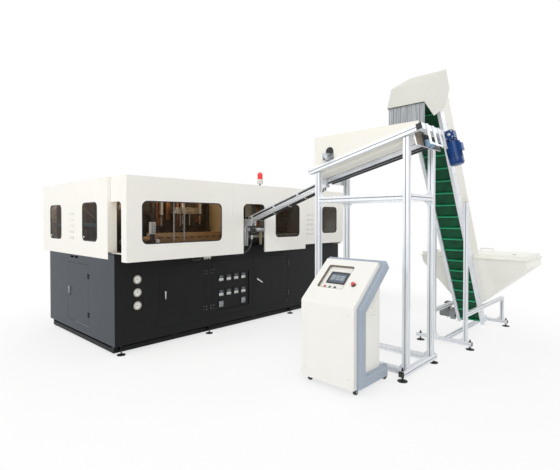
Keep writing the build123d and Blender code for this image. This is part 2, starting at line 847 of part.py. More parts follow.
with BuildPart() as rear_guards:
    right_start = step_x + panel_gap
    end_face = guard_right - guard_sheet
    right_end = end_face - panel_gap
    right_back = right_post_y + guard_lap
    bar(right_start, right_end, right_front, right_front + guard_sheet, right_guard_bottom, guard_top)
    bar(right_start, right_start + guard_sheet, right_front, right_post_y, right_guard_bottom, frame_top_low)
    bar(right_start, right_end - guard_flange, right_front, right_back, guard_top - guard_sheet, guard_top)
    window_hole(right_plane, right_window)
    louvre_bank(right_plane, louvre_right)
    bar(end_face, guard_right, right_front, guard_back, base_top, guard_top)
    side_lap = tube_right - guard_lap
    top_sheet = guard_top - guard_sheet
    bar(side_lap, guard_right, right_back + panel_gap, tube_back - guard_tube, top_sheet, guard_top)
    starts = (base_left + panel_gap, rear_seams[0] + panel_gap, rear_seams[1] + panel_gap)
    ends = (rear_seams[0], rear_seams[1], right_end)
    for x0, x1 in zip(starts, ends):
        bar(x0, x1, guard_back - guard_sheet, guard_back, end_guard_bottom, guard_top)
        bar(x0, x1, tube_back - guard_lap, guard_back, guard_top - guard_sheet, guard_top)
        bar(x0, x1, tube_back, guard_back, end_guard_bottom, end_guard_bottom + guard_sheet)
    for window in rear_windows:
        window_hole(rear_plane, (-window[0],) + window[1:])
rear_guards.part.label = "rear_guards"
export_step(rear_guards.part, "parts/rear_guards.step")

# Roof sheets lie on the guard frame between the guards
with BuildPart() as roof_panels:
    roof_front = guard_hinge_y + guard_hinge_radius + 12.0
    roof_step = step_x - guard_tube
    roof_rib_first = base_front + 0.3 * base_depth
    roof_rib_pitch = 0.4 * base_depth
    for x0, x1, y0 in (
        (cover_top_right + panel_gap, rear_seams[0], roof_front),
        (rear_seams[0] + panel_gap, roof_step, roof_front),
        (roof_step + panel_gap, side_lap - panel_gap, right_back + panel_gap),
    ):
        bar(x0, x1, y0, cover_back, guard_frame_top, guard_top)
        for y in (roof_rib_first, roof_rib_first + roof_rib_pitch):
            bar(x0 + guard_tube, x1 - guard_tube, y, y + guard_tube, guard_top, guard_top + 2 * guard_sheet)
roof_panels.part.label = "roof_panels"
export_step(roof_panels.part, "parts/roof_panels.step")

# Panes and gaskets of the fixed guards
fixed_windows = [
    (front_plane, feed_window),
    (right_plane, right_window),
    (end_plane, end_window(end_window_front)),
    (end_plane, end_window(end_window_back)),
]
fixed_windows += [(rear_plane, (-window[0],) + window[1:]) for window in rear_windows]

with BuildPart() as window_gaskets:
    for plane, window in fixed_windows:
        gasket(plane, window)
with BuildPart() as window_panes:
    for plane, window in fixed_windows:
        pane(plane, window)
guard_windows = Compound(children=[window_gaskets.part, window_panes.part])
guard_windows.label = "guard_windows"
export_step(guard_windows, "parts/guard_windows.step")

# Signal beacon: stem and collar, then the dome
beacon_centre = (base_left + beacon_x, base_front + beacon_y)
beacon_foot = guard_top
with BuildPart() as beacon_base:
    with BuildSketch(Plane.XY.offset(beacon_foot)):
        with Locations(beacon_centre):
            Circle(2.2 * beacon_stem_radius)
    extrude(amount=8)
    with BuildSketch(Plane.XY.offset(beacon_foot)):
        with Locations(beacon_centre):
            Circle(beacon_stem_radius)
    extrude(amount=beacon_stem)
    with BuildSketch(Plane.XY.offset(beacon_foot + beacon_stem)):
        with Locations(beacon_centre):
            Circle(beacon_radius)
    extrude(amount=beacon_collar)
beacon_base.part.label = "beacon_base"
export_step(beacon_base.part, "parts/beacon_base.step")

dome_foot = beacon_foot + beacon_stem + beacon_collar
with BuildPart() as beacon_dome:
    with BuildSketch(Plane(origin=(*beacon_centre, dome_foot), x_dir=(1, 0, 0), z_dir=(0, -1, 0))):
        with BuildLine():
            Line((0, 0), (beacon_radius - 3, 0))
            Line((beacon_radius - 3, 0), (beacon_radius - 3, beacon_dome_height - beacon_radius + 3))
            CenterArc((0, beacon_dome_height - beacon_radius + 3), beacon_radius - 3, 0, 90)
            Line((0, beacon_dome_height), (0, 0))
        make_face()
    revolve(axis=Axis((*beacon_centre, dome_foot), (0, 0, 1)))
beacon_dome.part.label = "beacon_dome"
export_step(beacon_dome.part, "parts/beacon_dome.step")

# Clamp: two end plates on the deck joined by four tie bars
clamp_left = base_left + clamp_start
clamp_right = clamp_left + clamp_length
clamp_front = base_front + clamp_offset
clamp_back = clamp_front + clamp_depth
clamp_bottom = base_top
clamp_top = base_top + clamp_height
tie_bars = [
    (y, z)
    for y in (clamp_front + tie_bar_inset, clamp_back - tie_bar_inset)
    for z in (clamp_bottom + tie_bar_inset + platen_lift, clamp_top - tie_bar_inset)
]
cylinder_radius = 70.0

with BuildPart() as clamp_frame:
    for x in (clamp_left, clamp_right - clamp_plate):
        bar(x, x + clamp_plate, clamp_front, clamp_back, clamp_bottom, clamp_top)
    for y, z in tie_bars:
        rod((clamp_left, y, z), (clamp_right, y, z), tie_bar_radius)
    ram_y = (clamp_front + clamp_back) / 2
    ram_z = (clamp_bottom + clamp_top) / 2
    for x0, x1 in ((clamp_left - 190, clamp_left), (clamp_right, clamp_right + 190)):
        rod((x0, ram_y, ram_z), (x1, ram_y, ram_z), cylinder_radius)

clamp_middle = (clamp_left + clamp_right) / 2
platen_inner = mould_opening / 2 + mould_thickness


def clamp_platen(side):
    """Moving platen with its mould half; side is -1 to the left and 1 to the right."""
    x0 = clamp_middle + side * platen_inner
    x1 = x0 + side * platen_thickness
    bar(x0, x1, clamp_front, clamp_back, clamp_bottom + platen_lift, clamp_top)
    bar(
        clamp_middle + side * mould_opening / 2,
        x0,
        ram_y - mould_depth / 2,
        ram_y + mould_depth / 2,
        ram_z - mould_height / 2,
        ram_z + mould_height / 2,
    )
    for y, z in tie_bars:
        low, high = sorted((x0, x1))
        rod((low, y, z), (high, y, z), tie_bar_radius + tie_bar_gap, mode=Mode.SUBTRACT)
    for i in (-1, 1):
        face = clamp_middle + side * mould_opening / 2
        low, high = sorted((face, face + side * 34))
        y = ram_y + i * holder_pitch
        rod((low, y, ram_z), (high, y, ram_z), 34, mode=Mode.SUBTRACT)


with BuildPart() as clamp_platen_left:
    clamp_platen(-1)
clamp_platen_left.part.label = "clamp_platen_left"
export_step(clamp_platen_left.part, "parts/clamp_platen_left.step")

with BuildPart() as clamp_platen_right:
    clamp_platen(1)
clamp_platen_right.part.label = "clamp_platen_right"
export_step(clamp_platen_right.part, "parts/clamp_platen_right.step")

# Preform track: a round beam on feet carrying the row of preform holders
track_y = base_front + track_offset
track_z = base_top + track_height
track_start = clamp_left - 60.0
track_length = 1340.0
track_foot = 60.0

with BuildPart() as preform_track:
    rod((track_start, track_y, track_z), (track_start + track_length, track_y, track_z), track_radius)
    for x in (track_start + track_foot, track_start + track_length - 2 * track_foot):
        bar(x, x + track_foot, track_y - track_foot / 2, track_y + track_foot / 2, base_top, track_z)
    first_holder = track_start + (track_length - (holder_count - 1) * holder_pitch) / 2
    for i in range(holder_count):
        x = first_holder + i * holder_pitch
        rod((x, track_y, track_z), (x, track_y, track_z + 70), holder_radius)
        rod((x, track_y, track_z + 70), (x, track_y, track_z + 80), holder_radius + 8)
preform_track.part.label = "preform_track"
export_step(preform_track.part, "parts/preform_track.step")

# Stretch unit: cross carriage that runs on two guide rods
stretch_y = base_front + stretch_offset
stretch_xs = (clamp_middle - stretch_rod_spread / 2, clamp_middle + stretch_rod_spread / 2)
stretch_top = base_top + stretch_height
carriage_height = 90.0
carriage_lift = 480.0

with BuildPart() as stretch_guides:
    for x in stretch_xs:
        rod((x, stretch_y, base_top), (x, stretch_y, stretch_top), stretch_rod_radius)
    bar(stretch_xs[0] - 50, stretch_xs[1] + 50, stretch_y - 35, stretch_y + 35, stretch_top, stretch_top + 30)
blowing_station = Compound(children=[clamp_frame.part, stretch_guides.part])
blowing_station.label = "clamp_frame"
export_step(blowing_station, "parts/clamp_frame.step")

with BuildPart() as stretch_carriage:
    carriage_z = base_top + carriage_lift
    carriage_top = carriage_z + carriage_height
    bar(stretch_xs[0] - 45, stretch_xs[1] + 45, stretch_y - 32, stretch_y + 32, carriage_z, carriage_top)
    for x in stretch_xs:
        with BuildSketch(Plane.XY.offset(carriage_z)):
            with Locations((x, stretch_y)):
                Circle(stretch_rod_radius + tie_bar_gap)
        extrude(amount=carriage_height, mode=Mode.SUBTRACT)
    for i in (-1, 1):
        x = clamp_middle + i * holder_pitch
        rod((x, stretch_y, carriage_z - 160), (x, stretch_y, carriage_z), 7)
stretch_carriage.part.label = "stretch_carriage"
export_step(stretch_carriage.part, "parts/stretch_carriage.step")

# Heating oven: open fronted lamp housing on legs
oven_left = base_left + oven_start
oven_front = base_front + oven_offset
oven_wall = 12.0
oven_leg = 120.0
lamp_margin = 70.0

with BuildPart() as heating_oven:
    oven_bottom = base_top + oven_leg
    oven_top = oven_bottom + oven_height
    bar(oven_left, oven_left + oven_length, oven_front, oven_front + oven_depth, oven_bottom, oven_top)
    bar(
        oven_left + oven_wall,
        oven_left + oven_length - oven_wall,
        oven_front,
        oven_front + oven_depth - oven_wall,
        oven_bottom + oven_wall,
        oven_bottom + oven_height - oven_wall,
        mode=Mode.SUBTRACT,
    )
    for x in (oven_left, oven_left + oven_length - oven_leg / 2):
        for y in (oven_front, oven_front + oven_depth - oven_leg / 2):
            bar(x, x + oven_leg / 2, y, y + oven_leg / 2, base_top, oven_bottom)
    lamp_pitch = (oven_height - 2 * lamp_margin) / (lamp_count - 1)
    for i in range(lamp_count):
        z = oven_bottom + lamp_margin + i * lamp_pitch
        y = oven_front + oven_depth - 3 * oven_wall
        rod((oven_left + oven_wall, y, z), (oven_left + oven_length - oven_wall, y, z), lamp_radius)
heating_oven.part.label = "heating_oven"
export_step(heating_oven.part, "parts/heating_oven.step")

# Aluminium profile used by the stand and the elevator
slot_share = 0.18
slot_depth_share = 0.2
gusset_key = 2.0


def profile_bar(start, end, size, across=(1, 0, 0)):
    """A slotted square profile between two points; across sets its section's x."""
    run = Vector(*end) - Vector(*start)
    with BuildSketch(Plane(origin=start, x_dir=across, z_dir=run.normalized())) as section:
        Rectangle(size, size)
        with PolarLocations(size / 2, 4):
            Rectangle(2 * slot_depth_share * size, slot_share * size, mode=Mode.SUBTRACT)
    extrude(section.sketch, amount=run.length)


def gusset(corner, first, second, reach, thickness):
    """A triangular corner bracket between two bars, keyed into their slots."""
    normal = Vector(*first).cross(Vector(*second))
    with BuildSketch(Plane(origin=corner, x_dir=first, z_dir=normal.normalized())) as plate:
        with BuildLine():
            Polyline(
                (-gusset_key, -gusset_key),
                (reach, -gusset_key),
                (reach, 0),
                (0, reach),
                (-gusset_key, reach),
                close=True,
            )
        make_face()
    extrude(plate.sketch, amount=thickness / 2, both=True)


# Sorter stand
stand_left = 1587.0
stand_front = -2820.0
stand_width = 645.0
stand_depth = 1170.0
stand_bar = 60.0
stand_base_bottom = 44.0
stand_base_overhang = 70.0
stand_foot_inset = 25.0
cross_height = 1835.0
gusset_reach = 55.0
gusset_thickness = 14.0
stud_above_rail = 32.0

# Sorter: the slope rises to the front of the line
slope_low_y = -1570.0
slope_low_z = 2196.0
slope_angle = 13.75
slope_length = 1371.0
rail_outset = 25.0

stand_right = stand_left + stand_width
stand_back = stand_front + stand_depth
stand_post_xs = (stand_left + stand_bar / 2, stand_right - stand_bar / 2)
stand_post_ys = (stand_front + stand_bar / 2, stand_back - stand_bar / 2)
stand_base_top = stand_base_bottom + stand_bar
slope_cos = cos(radians(slope_angle))
slope_sin = sin(radians(slope_angle))
slope_plane = Plane(origin=(0, slope_low_y, slope_low_z), x_dir=(1, 0, 0), z_dir=(0, -slope_cos, slope_sin))
rail_near_x = stand_left - rail_outset + stand_bar / 2
rail_far_x = stand_right + rail_outset - stand_bar / 2
stand_foot_reach = stand_base_overhang - stand_foot_inset
stand_foot_xs = (stand_left - stand_foot_reach, stand_right + stand_foot_reach)
stand_rail_z = stand_base_bottom + stand_bar / 2
cross_top = cross_height + stand_bar / 2
cross_bottom = cross_height - stand_bar / 2


def rail_under(y):
    """Height of the underside of the sloped rails at a place along Y."""
    return slope_low_z + (slope_low_y - y) * tan(radians(slope_angle)) - stand_bar / slope_cos


# Rollers between the rails
roller_radius = 37.5
roller_spread = 90.0
roller_drop = 137.0
roller_start = 46.0
roller_length = 1260.0
roller_shaft_radius = 12.0
roller_plate = 12.0
chute_x = 1897.0
roller_end = roller_start + roller_length
roller_xs = (chute_x - roller_spread / 2, chute_x + roller_spread / 2)
shaft_gap = 0.4

with BuildPart() as stand_frame:
    for x in stand_post_xs:
        for y in stand_post_ys:
            profile_bar((x, y, stand_base_top), (x, y, rail_under(y) + stand_bar / 2), stand_bar)
        y0 = stand_post_ys[0] + stand_bar / 2
        y1 = stand_post_ys[1] - stand_bar / 2
        profile_bar((x, y0, cross_height), (x, y1, cross_height), stand_bar)
        profile_bar((x, y0, stand_rail_z), (x, y1, stand_rail_z), stand_bar)
        for y, side in ((y0, 1), (y1, -1)):
            gusset((x, y, cross_top), (0, side, 0), (0, 0, 1), gusset_reach, gusset_thickness)
            gusset((x, y, cross_bottom), (0, side, 0), (0, 0, -1), gusset_reach, gusset_thickness)
            gusset((x, y, stand_base_top), (0, side, 0), (0, 0, 1), gusset_reach, gusset_thickness)
    for y in stand_post_ys:
        x0 = stand_post_xs[0] + stand_bar / 2
        x1 = stand_post_xs[1] - stand_bar / 2
        profile_bar((x0, y, cross_height), (x1, y, cross_height), stand_bar, (0, 1, 0))
        for x, side in ((x0, 1), (x1, -1)):
            gusset((x, y, cross_top), (side, 0, 0), (0, 0, 1), gusset_reach, gusset_thickness)
            gusset((x, y, cross_bottom), (side, 0, 0), (0, 0, -1), gusset_reach, gusset_thickness)
        profile_bar(
            (stand_left - stand_base_overhang, y, stand_rail_z),
            (stand_right + stand_base_overhang, y, stand_rail_z),
            stand_bar,
            (0, 1, 0),
        )
        bore = foot_stud_radius + stud_gap
        for x in stand_foot_xs:
            rod((x, y, stand_base_bottom), (x, y, stand_base_top), bore, mode=Mode.SUBTRACT)
    with Locations(slope_plane):
        bar(
            stand_left,
            stand_right,
            -stand_bar,
            stand_bar,
            0,
            slope_length,
            mode=Mode.SUBTRACT,
        )
        for x in (rail_near_x, rail_far_x):
            bar(x - stand_bar / 2, x + stand_bar / 2, -stand_bar, 0, 0, slope_length)
            for face, side in ((0, 1), (-stand_bar, -1)):
                depth = slot_depth_share * stand_bar
                half = slot_share * stand_bar / 2
                bar(x - half, x + half, face - depth, face + depth, 0, slope_length, mode=Mode.SUBTRACT)
            for face in (x - stand_bar / 2, x + stand_bar / 2):
                bar(
                    face - depth,
                    face + depth,
                    -stand_bar / 2 - half,
                    -stand_bar / 2 + half,
                    0,
                    slope_length,
                    mode=Mode.SUBTRACT,
                )
        bar(
            rail_near_x - stand_bar / 2,
            rail_far_x + stand_bar / 2,
            -stand_bar,
            0,
            slope_length,
            slope_length + stand_bar,
        )
        plate_half = (rail_far_x - rail_near_x - stand_bar) / 2
        for s in (roller_start - roller_plate, roller_end):
            bar(
                rail_near_x + stand_bar / 2,
                rail_far_x - stand_bar / 2,
                -roller_drop - roller_radius,
                -stand_bar / 2,
                s,
                s + roller_plate,
            )
            for x in roller_xs:
                with Locations((x, -roller_drop, s + roller_plate / 2)):
                    Cylinder(roller_shaft_radius + shaft_gap, 2 * roller_plate, mode=Mode.SUBTRACT)
        bar(
            chute_x - roller_spread / 6,
            chute_x + roller_spread / 6,
            -roller_drop - 2 * roller_radius,
            -stand_bar,
            roller_start - 2 * roller_plate,
            roller_start,
            mode=Mode.SUBTRACT,
        )
stand_frame.part.label = "stand_frame"
export_step(stand_frame.part, "parts/stand_frame.step")


def sorter_roller(x):
    """A steel roller with its two stub shafts, in the slope plane."""
    with Locations((x, -roller_drop, roller_start + roller_length / 2)):
        Cylinder(roller_radius, roller_length - 2 * hinge_gap)
        Cylinder(roller_shaft_radius, roller_length + 2 * roller_plate + 10)


with BuildPart() as sorter_roller_near:
    with Locations(slope_plane):
        sorter_roller(roller_xs[0])
sorter_roller_near.part.label = "sorter_roller_near"
export_step(sorter_roller_near.part, "parts/sorter_roller_near.step")

with BuildPart() as sorter_roller_far:
    with Locations(slope_plane):
        sorter_roller(roller_xs[1])
sorter_roller_far.part.label = "sorter_roller_far"
export_step(sorter_roller_far.part, "parts/sorter_roller_far.step")

# Sorter sheets: upright side plates on the rails and the trough under them
side_plate_top = 2563.0
side_plate_start = -1640.0
side_plate_end = -2920.0
side_plate_sheet = 3.0
arch_radius = 55.0
arch_y = -1858.0
trough_drop = 34.0
trough_lip_gap = 17.0
trough_lip_drop = 109.0


def rail_top(y):
    """Height of the top of the sloped rails at a place along Y."""
    return slope_low_z + (slope_low_y - y) * tan(radians(slope_angle))


with BuildPart() as sorter_sheets:
    for x in (rail_near_x, rail_far_x):
        plate_plane = Plane(origin=(x - side_plate_sheet / 2, 0, 0), x_dir=(0, 1, 0), z_dir=(1, 0, 0))
        with BuildSketch(plate_plane) as side_plate:
            with BuildLine():
                Polyline(
                    (side_plate_start, rail_top(side_plate_start)),
                    (side_plate_start, side_plate_top),
                    (side_plate_end, side_plate_top),
                    (side_plate_end, rail_top(side_plate_end)),
                    close=True,
                )
            make_face()
            if x == rail_near_x:
                with Locations((arch_y, rail_top(arch_y) + arch_radius)):
                    SlotOverall(4 * arch_radius, 2 * arch_radius, rotation=90, mode=Mode.SUBTRACT)
        extrude(amount=side_plate_sheet)
    for rail_x, side, lip_x in (
        (rail_near_x, 1, roller_xs[0] - roller_radius - trough_lip_gap),
        (rail_far_x, -1, roller_xs[1] + roller_radius + trough_lip_gap),
    ):
        rail_inner = rail_x + side * stand_bar / 2
        wall = rail_inner + side * (rail_outset + seat_gap)
        sheet_side = side * side_plate_sheet
        with BuildSketch(slope_plane.offset(roller_start + seat_gap)) as trough:
            with BuildLine():
                Polyline(
                    (rail_inner, side_plate_sheet - stand_bar),
                    (wall + sheet_side, side_plate_sheet - stand_bar),
                    (wall + sheet_side, -stand_bar - trough_drop),
                    (lip_x, -trough_lip_drop),
                    (lip_x, -trough_lip_drop - side_plate_sheet),
                    (wall, -stand_bar - trough_drop - side_plate_sheet),
                    (wall, -stand_bar),
                    (rail_inner, -stand_bar),
                    close=True,
                )
            make_face()
        extrude(amount=roller_length - 2 * seat_gap)
sorter_sheets.part.label = "sorter_sheets"
export_step(sorter_sheets.part, "parts/sorter_sheets.step")

# Kicker: a paddle wheel over the rollers, its motor stands on the near rail
kicker_radius = 48.0
kicker_hub = 18.0
kicker_width = 60.0
kicker_y = arch_y
kicker_z = rail_top(arch_y) + 52.0
kicker_motor_size = 70.0
kicker_motor_length = 88.0
kicker_shaft_radius = 7.0
kicker_paddles = 6
motor_face_x = rail_near_x - side_plate_sheet / 2

with BuildPart() as kicker_motor:
    x1 = motor_face_x - 6.0
    x0 = x1 - kicker_motor_length
    half = kicker_motor_size / 2
    bar(x0, x1, kicker_y - half, kicker_y + half, kicker_z - half, kicker_z + half)
    chamfer(kicker_motor.edges().filter_by(Axis.X), 7)
    bar(x1, motor_face_x, kicker_y - 1.45 * half, kicker_y + 1.45 * half, kicker_z - half, kicker_z + half)
    bar(x0 + 8, x1, kicker_y - half, kicker_y + half, rail_top(kicker_y - half), kicker_z - half + 10)
    bore = kicker_shaft_radius + 1
    rod((x1 - 20, kicker_y, kicker_z), (motor_face_x, kicker_y, kicker_z), bore, mode=Mode.SUBTRACT)
kicker_motor.part.label = "kicker_motor"

with BuildPart() as kicker_wheel:
    wheel_x0 = motor_face_x + side_plate_sheet + 24.0
    rod((wheel_x0, kicker_y, kicker_z), (wheel_x0 + kicker_width, kicker_y, kicker_z), kicker_hub)
    rod((motor_face_x - 20, kicker_y, kicker_z), (wheel_x0, kicker_y, kicker_z), kicker_shaft_radius)
    rod((wheel_x0, kicker_y, kicker_z), (wheel_x0 + 5, kicker_y, kicker_z), kicker_radius)
    with BuildSketch(Plane(origin=(wheel_x0 + 5, kicker_y, kicker_z), x_dir=(0, 1, 0), z_dir=(1, 0, 0))):
        with PolarLocations(kicker_radius / 2, kicker_paddles):
            Rectangle(kicker_radius, 6)
    extrude(amount=kicker_width - 5)
kicker_wheel.part.label = "kicker_wheel"
export_step(kicker_motor.part, "parts/kicker_motor.step")
export_step(kicker_wheel.part, "parts/kicker_wheel.step")

# Roller drive: worm gearbox behind the upper roller plate, motor hanging under it
gearbox_size = 96.0
gearbox_width = 84.0
gearbox_x = 2080.0
motor_radius = 72.0
motor_length = 262.0
motor_flange = 12.0
motor_fins = 20

with BuildPart() as roller_gearmotor:
    box_start = slope_length + stand_bar
    with Locations(slope_plane):
        bar(
            gearbox_x,
            gearbox_x + gearbox_width,
            -stand_bar - gearbox_size + 40,
            -stand_bar + 40,
            box_start,
            box_start + gearbox_size,
        )
    chamfer(roller_gearmotor.edges().filter_by(Axis.X), 12)
    motor_x = gearbox_x + gearbox_width / 2
    motor_drop = stand_bar + gearbox_size - 40
    motor_plane = Plane(
        origin=slope_plane.from_local_coords((motor_x, -motor_drop, box_start + gearbox_size / 2)),
        x_dir=(1, 0, 0),
        z_dir=(0, -slope_sin, -slope_cos),
    )
    with BuildSketch(motor_plane):
        Circle(0.82 * motor_radius)
    extrude(amount=motor_flange)
    with BuildSketch(motor_plane.offset(motor_flange)):
        Circle(0.6 * motor_radius)
    extrude(amount=18)
    with BuildSketch(motor_plane.offset(motor_flange + 18)):
        Circle(0.92 * motor_radius)
        with PolarLocations(0.92 * motor_radius, motor_fins):
            Rectangle(0.2 * motor_radius, 4)
    extrude(amount=0.66 * motor_length)
    with BuildSketch(motor_plane.offset(motor_flange + 18 + 0.66 * motor_length)):
        Circle(motor_radius)
    extrude(amount=0.2 * motor_length, taper=8)
    with Locations(motor_plane):
        bar(-34, 34, 0.5 * motor_radius, 1.28 * motor_radius, motor_flange + 50, motor_flange + 130)
roller_gearmotor.part.label = "roller_gearmotor"
export_step(roller_gearmotor.part, "parts/roller_gearmotor.step")

# Chute from the rollers down into the machine, with its end bracket and post
chute_low_y = -201.0
chute_low_z = 1569.0
chute_top_y = -1602.0
chute_top_z = 2037.0
chute_width = 66.0
chute_height = 62.0
chute_wall = 8.0
chute_rail_radius = 7.0
chute_rail_rise = 34.0
chute_clip_pitch = 460.0
chute_post_radius = 17.0
chute_run = sqrt((chute_top_y - chute_low_y) ** 2 + (chute_top_z - chute_low_z) ** 2)
chute_angle = atan2(chute_top_z - chute_low_z, chute_low_y - chute_top_y)
chute_plane = Plane(
    origin=(chute_x, chute_low_y, chute_low_z),
    x_dir=(1, 0, 0),
    z_dir=(0, -cos(chute_angle), sin(chute_angle)),
)

with BuildPart() as chute_rails:
    with Locations(chute_plane):
        bar(-chute_width / 2, chute_width / 2, -chute_height / 2, chute_height / 2, 0, chute_run)
        bar(
            chute_wall - chute_width / 2,
            chute_width / 2 - chute_wall,
            chute_wall - chute_height / 2,
            chute_height / 2,
            0,
            chute_run,
            mode=Mode.SUBTRACT,
        )
        for side in (-1, 1):
            edge = side * (chute_width / 2 - chute_wall / 2)
            with Locations((edge, chute_height / 2 + chute_rail_rise, chute_run / 2)):
                Cylinder(chute_rail_radius, chute_run)
            for i in range(int(chute_run // chute_clip_pitch) + 1):
                s = 60 + i * chute_clip_pitch
                bar(
                    edge - chute_wall / 2,
                    edge + chute_wall / 2,
                    chute_height / 2,
                    chute_height / 2 + chute_rail_rise,
                    s,
                    s + 30,
                )

# Feed gate: bracket under the chute end on a post that stands on the deck
gate_post_y = base_front + 60.0
gate_plate = 12.0
gate_cheek = 100.0
gate_top = chute_low_z - 60.0

with BuildPart() as feed_gate:
    for x in (chute_x - 130, chute_x + 100):
        bar(x, x + 30, gate_post_y, gate_post_y + 30, base_top, gate_top)
    bar(chute_x - 150, chute_x + 150, gate_post_y - 10, gate_post_y + 60, gate_top, gate_top + gate_plate)
    bar(
        chute_x - chute_width / 2 - gate_plate - seat_gap,
        chute_x - chute_width / 2 - seat_gap,
        chute_low_y - 60,
        gate_post_y + 60,
        gate_top,
        gate_top + gate_cheek,
    )
    bar(
        chute_x + chute_width / 2 + seat_gap,
        chute_x + chute_width / 2 + gate_plate + seat_gap,
        chute_low_y - 60,
        gate_post_y + 60,
        gate_top,
        gate_top + gate_cheek,
    )
    chute_post_x = chute_x + 170
    chute_post_y = gate_post_y + 60
    chute_post_foot = (chute_post_x, chute_post_y, base_top)
    rod(chute_post_foot, (chute_post_x, chute_post_y, gate_top - 90), chute_post_radius)
    bar(chute_x + 120, chute_x + 215, gate_post_y + 20, gate_post_y + 95, gate_top - 90, gate_top - 40)
feed_chute = Compound(children=[chute_rails.part, feed_gate.part])
feed_chute.label = "feed_chute"
export_step(feed_chute, "parts/feed_chute.step")

# Elevator: belt frame at its slope, on two T shaped legs
conveyor_angle = 60.0
tail_x = 3837.0
tail_z = 240.0
conveyor_y = -2673.5
conveyor_width = 353.0
belt_run = 3212.0
side_rail_width = 40.0
side_rail_low = -72.0
side_rail_high = 18.0
side_rail_start = -70.0
side_rail_over = 60.0
pulley_radius = 52.0
pulley_shaft_radius = 15.0
belt_thickness = 3.0
belt_side_gap = 6.0
cleat_height = 28.0
cleat_thickness = 7.0
cleat_pitch = 165.0
run_gap = 0.3
bearing_radius = 42.0
bearing_thickness = 22.0

conveyor_half = conveyor_width / 2
belt_half = conveyor_half - side_rail_width - belt_side_gap
belt_cos = cos(radians(conveyor_angle))
belt_sin = sin(radians(conveyor_angle))
belt_origin = (tail_x, conveyor_y, tail_z)
belt_plane = Plane(origin=belt_origin, x_dir=(belt_sin, 0, belt_cos), z_dir=(-belt_cos, 0, belt_sin))
leg_low_x = 3037.0
leg_high_x = 4570.0
leg_bar = 45.0
leg_front = -2950.0
leg_depth = 700.0
leg_rail_bottom = 46.0
leg_rail_z = 420.0
leg_post_top = 1817.0
leg_foot_inset = 45.0
leg_near_foot_inset = 22.0
leg_back = leg_front + leg_depth
leg_near_y = conveyor_y - conveyor_half - leg_bar / 2
leg_far_y = conveyor_y + conveyor_half + leg_bar / 2
leg_rail_top = leg_rail_bottom + leg_bar
leg_foot_ys = (leg_front + leg_near_foot_inset, leg_back - leg_foot_inset)

with BuildPart() as elevator_frame:
    for side in (-1, 1):
        outer = side * conveyor_half
        inner = side * (conveyor_half - side_rail_width)
        with Locations(belt_plane):
            bar(side_rail_low, side_rail_high, inner, outer, side_rail_start, belt_run + side_rail_over)
            middle = (side_rail_low + side_rail_high) / 2
            rail_end = belt_run + side_rail_over
            for n in (middle - 22, middle + 22):
                bar(n - 4, n + 4, outer - side * 9, outer, side_rail_start, rail_end, mode=Mode.SUBTRACT)
            for u in (0, belt_run):
                with Locations((0, outer + side * bearing_thickness / 2, u)):
                    Cylinder(bearing_radius, bearing_thickness, rotation=(90, 0, 0))
                    Cylinder(
                        pulley_shaft_radius + shaft_gap,
                        4 * bearing_thickness + 2 * side_rail_width,
                        rotation=(90, 0, 0),
                        mode=Mode.SUBTRACT,
                    )
    for y in (leg_near_y, leg_far_y):
        profile_bar((leg_low_x, y, leg_rail_top), (leg_low_x, y, leg_post_top), leg_bar)
        profile_bar((leg_high_x, y, leg_rail_top), (leg_high_x, y, leg_rail_z + leg_bar / 2), leg_bar)
        profile_bar(
            (leg_low_x + leg_bar / 2, y, leg_rail_z),
            (leg_high_x - leg_bar / 2, y, leg_rail_z),
            leg_bar,
            (0, 1, 0),
        )
        for x in (leg_low_x, leg_high_x):
            gusset((x, y + leg_bar / 2, leg_rail_top), (0, 1, 0), (0, 0, 1), gusset_reach, gusset_thickness)
    for x in (leg_low_x, leg_high_x):
        inner = (x, leg_far_y - leg_bar / 2, leg_rail_top)
        gusset(inner, (0, -1, 0), (0, 0, 1), gusset_reach, gusset_thickness)
    for x in (leg_low_x, leg_high_x):
        z = leg_rail_bottom + leg_bar / 2
        profile_bar((x, leg_front, z), (x, leg_back, z), leg_bar)
        bore = foot_stud_radius + stud_gap
        for y in leg_foot_ys:
            rod((x, y, leg_rail_bottom), (x, y, leg_rail_top), bore, mode=Mode.SUBTRACT)
    tie_z = leg_rail_bottom + leg_bar / 2
    profile_bar(
        (leg_low_x + leg_bar / 2, conveyor_y + 60, tie_z),
        (leg_high_x - leg_bar / 2, conveyor_y + 60, tie_z),
        leg_bar,
        (0, 1, 0),
    )
elevator_frame.part.label = "elevator_frame"
export_step(elevator_frame.part, "parts/elevator_frame.step")


def belt_pulley(u):
    """A plain drum on its shaft, across the belt."""
    with Locations((0, 0, u)):
        Cylinder(pulley_radius - run_gap, 2 * belt_half, rotation=(90, 0, 0))
        Cylinder(pulley_shaft_radius, conveyor_width + 2 * bearing_thickness + 8, rotation=(90, 0, 0))


with BuildPart() as tail_pulley:
    with Locations(belt_plane):
        belt_pulley(0)
tail_pulley.part.label = "tail_pulley"
export_step(tail_pulley.part, "parts/tail_pulley.step")

with BuildPart() as head_pulley:
    with Locations(belt_plane):
        belt_pulley(belt_run)
head_pulley.part.label = "head_pulley"
export_step(head_pulley.part, "parts/head_pulley.step")

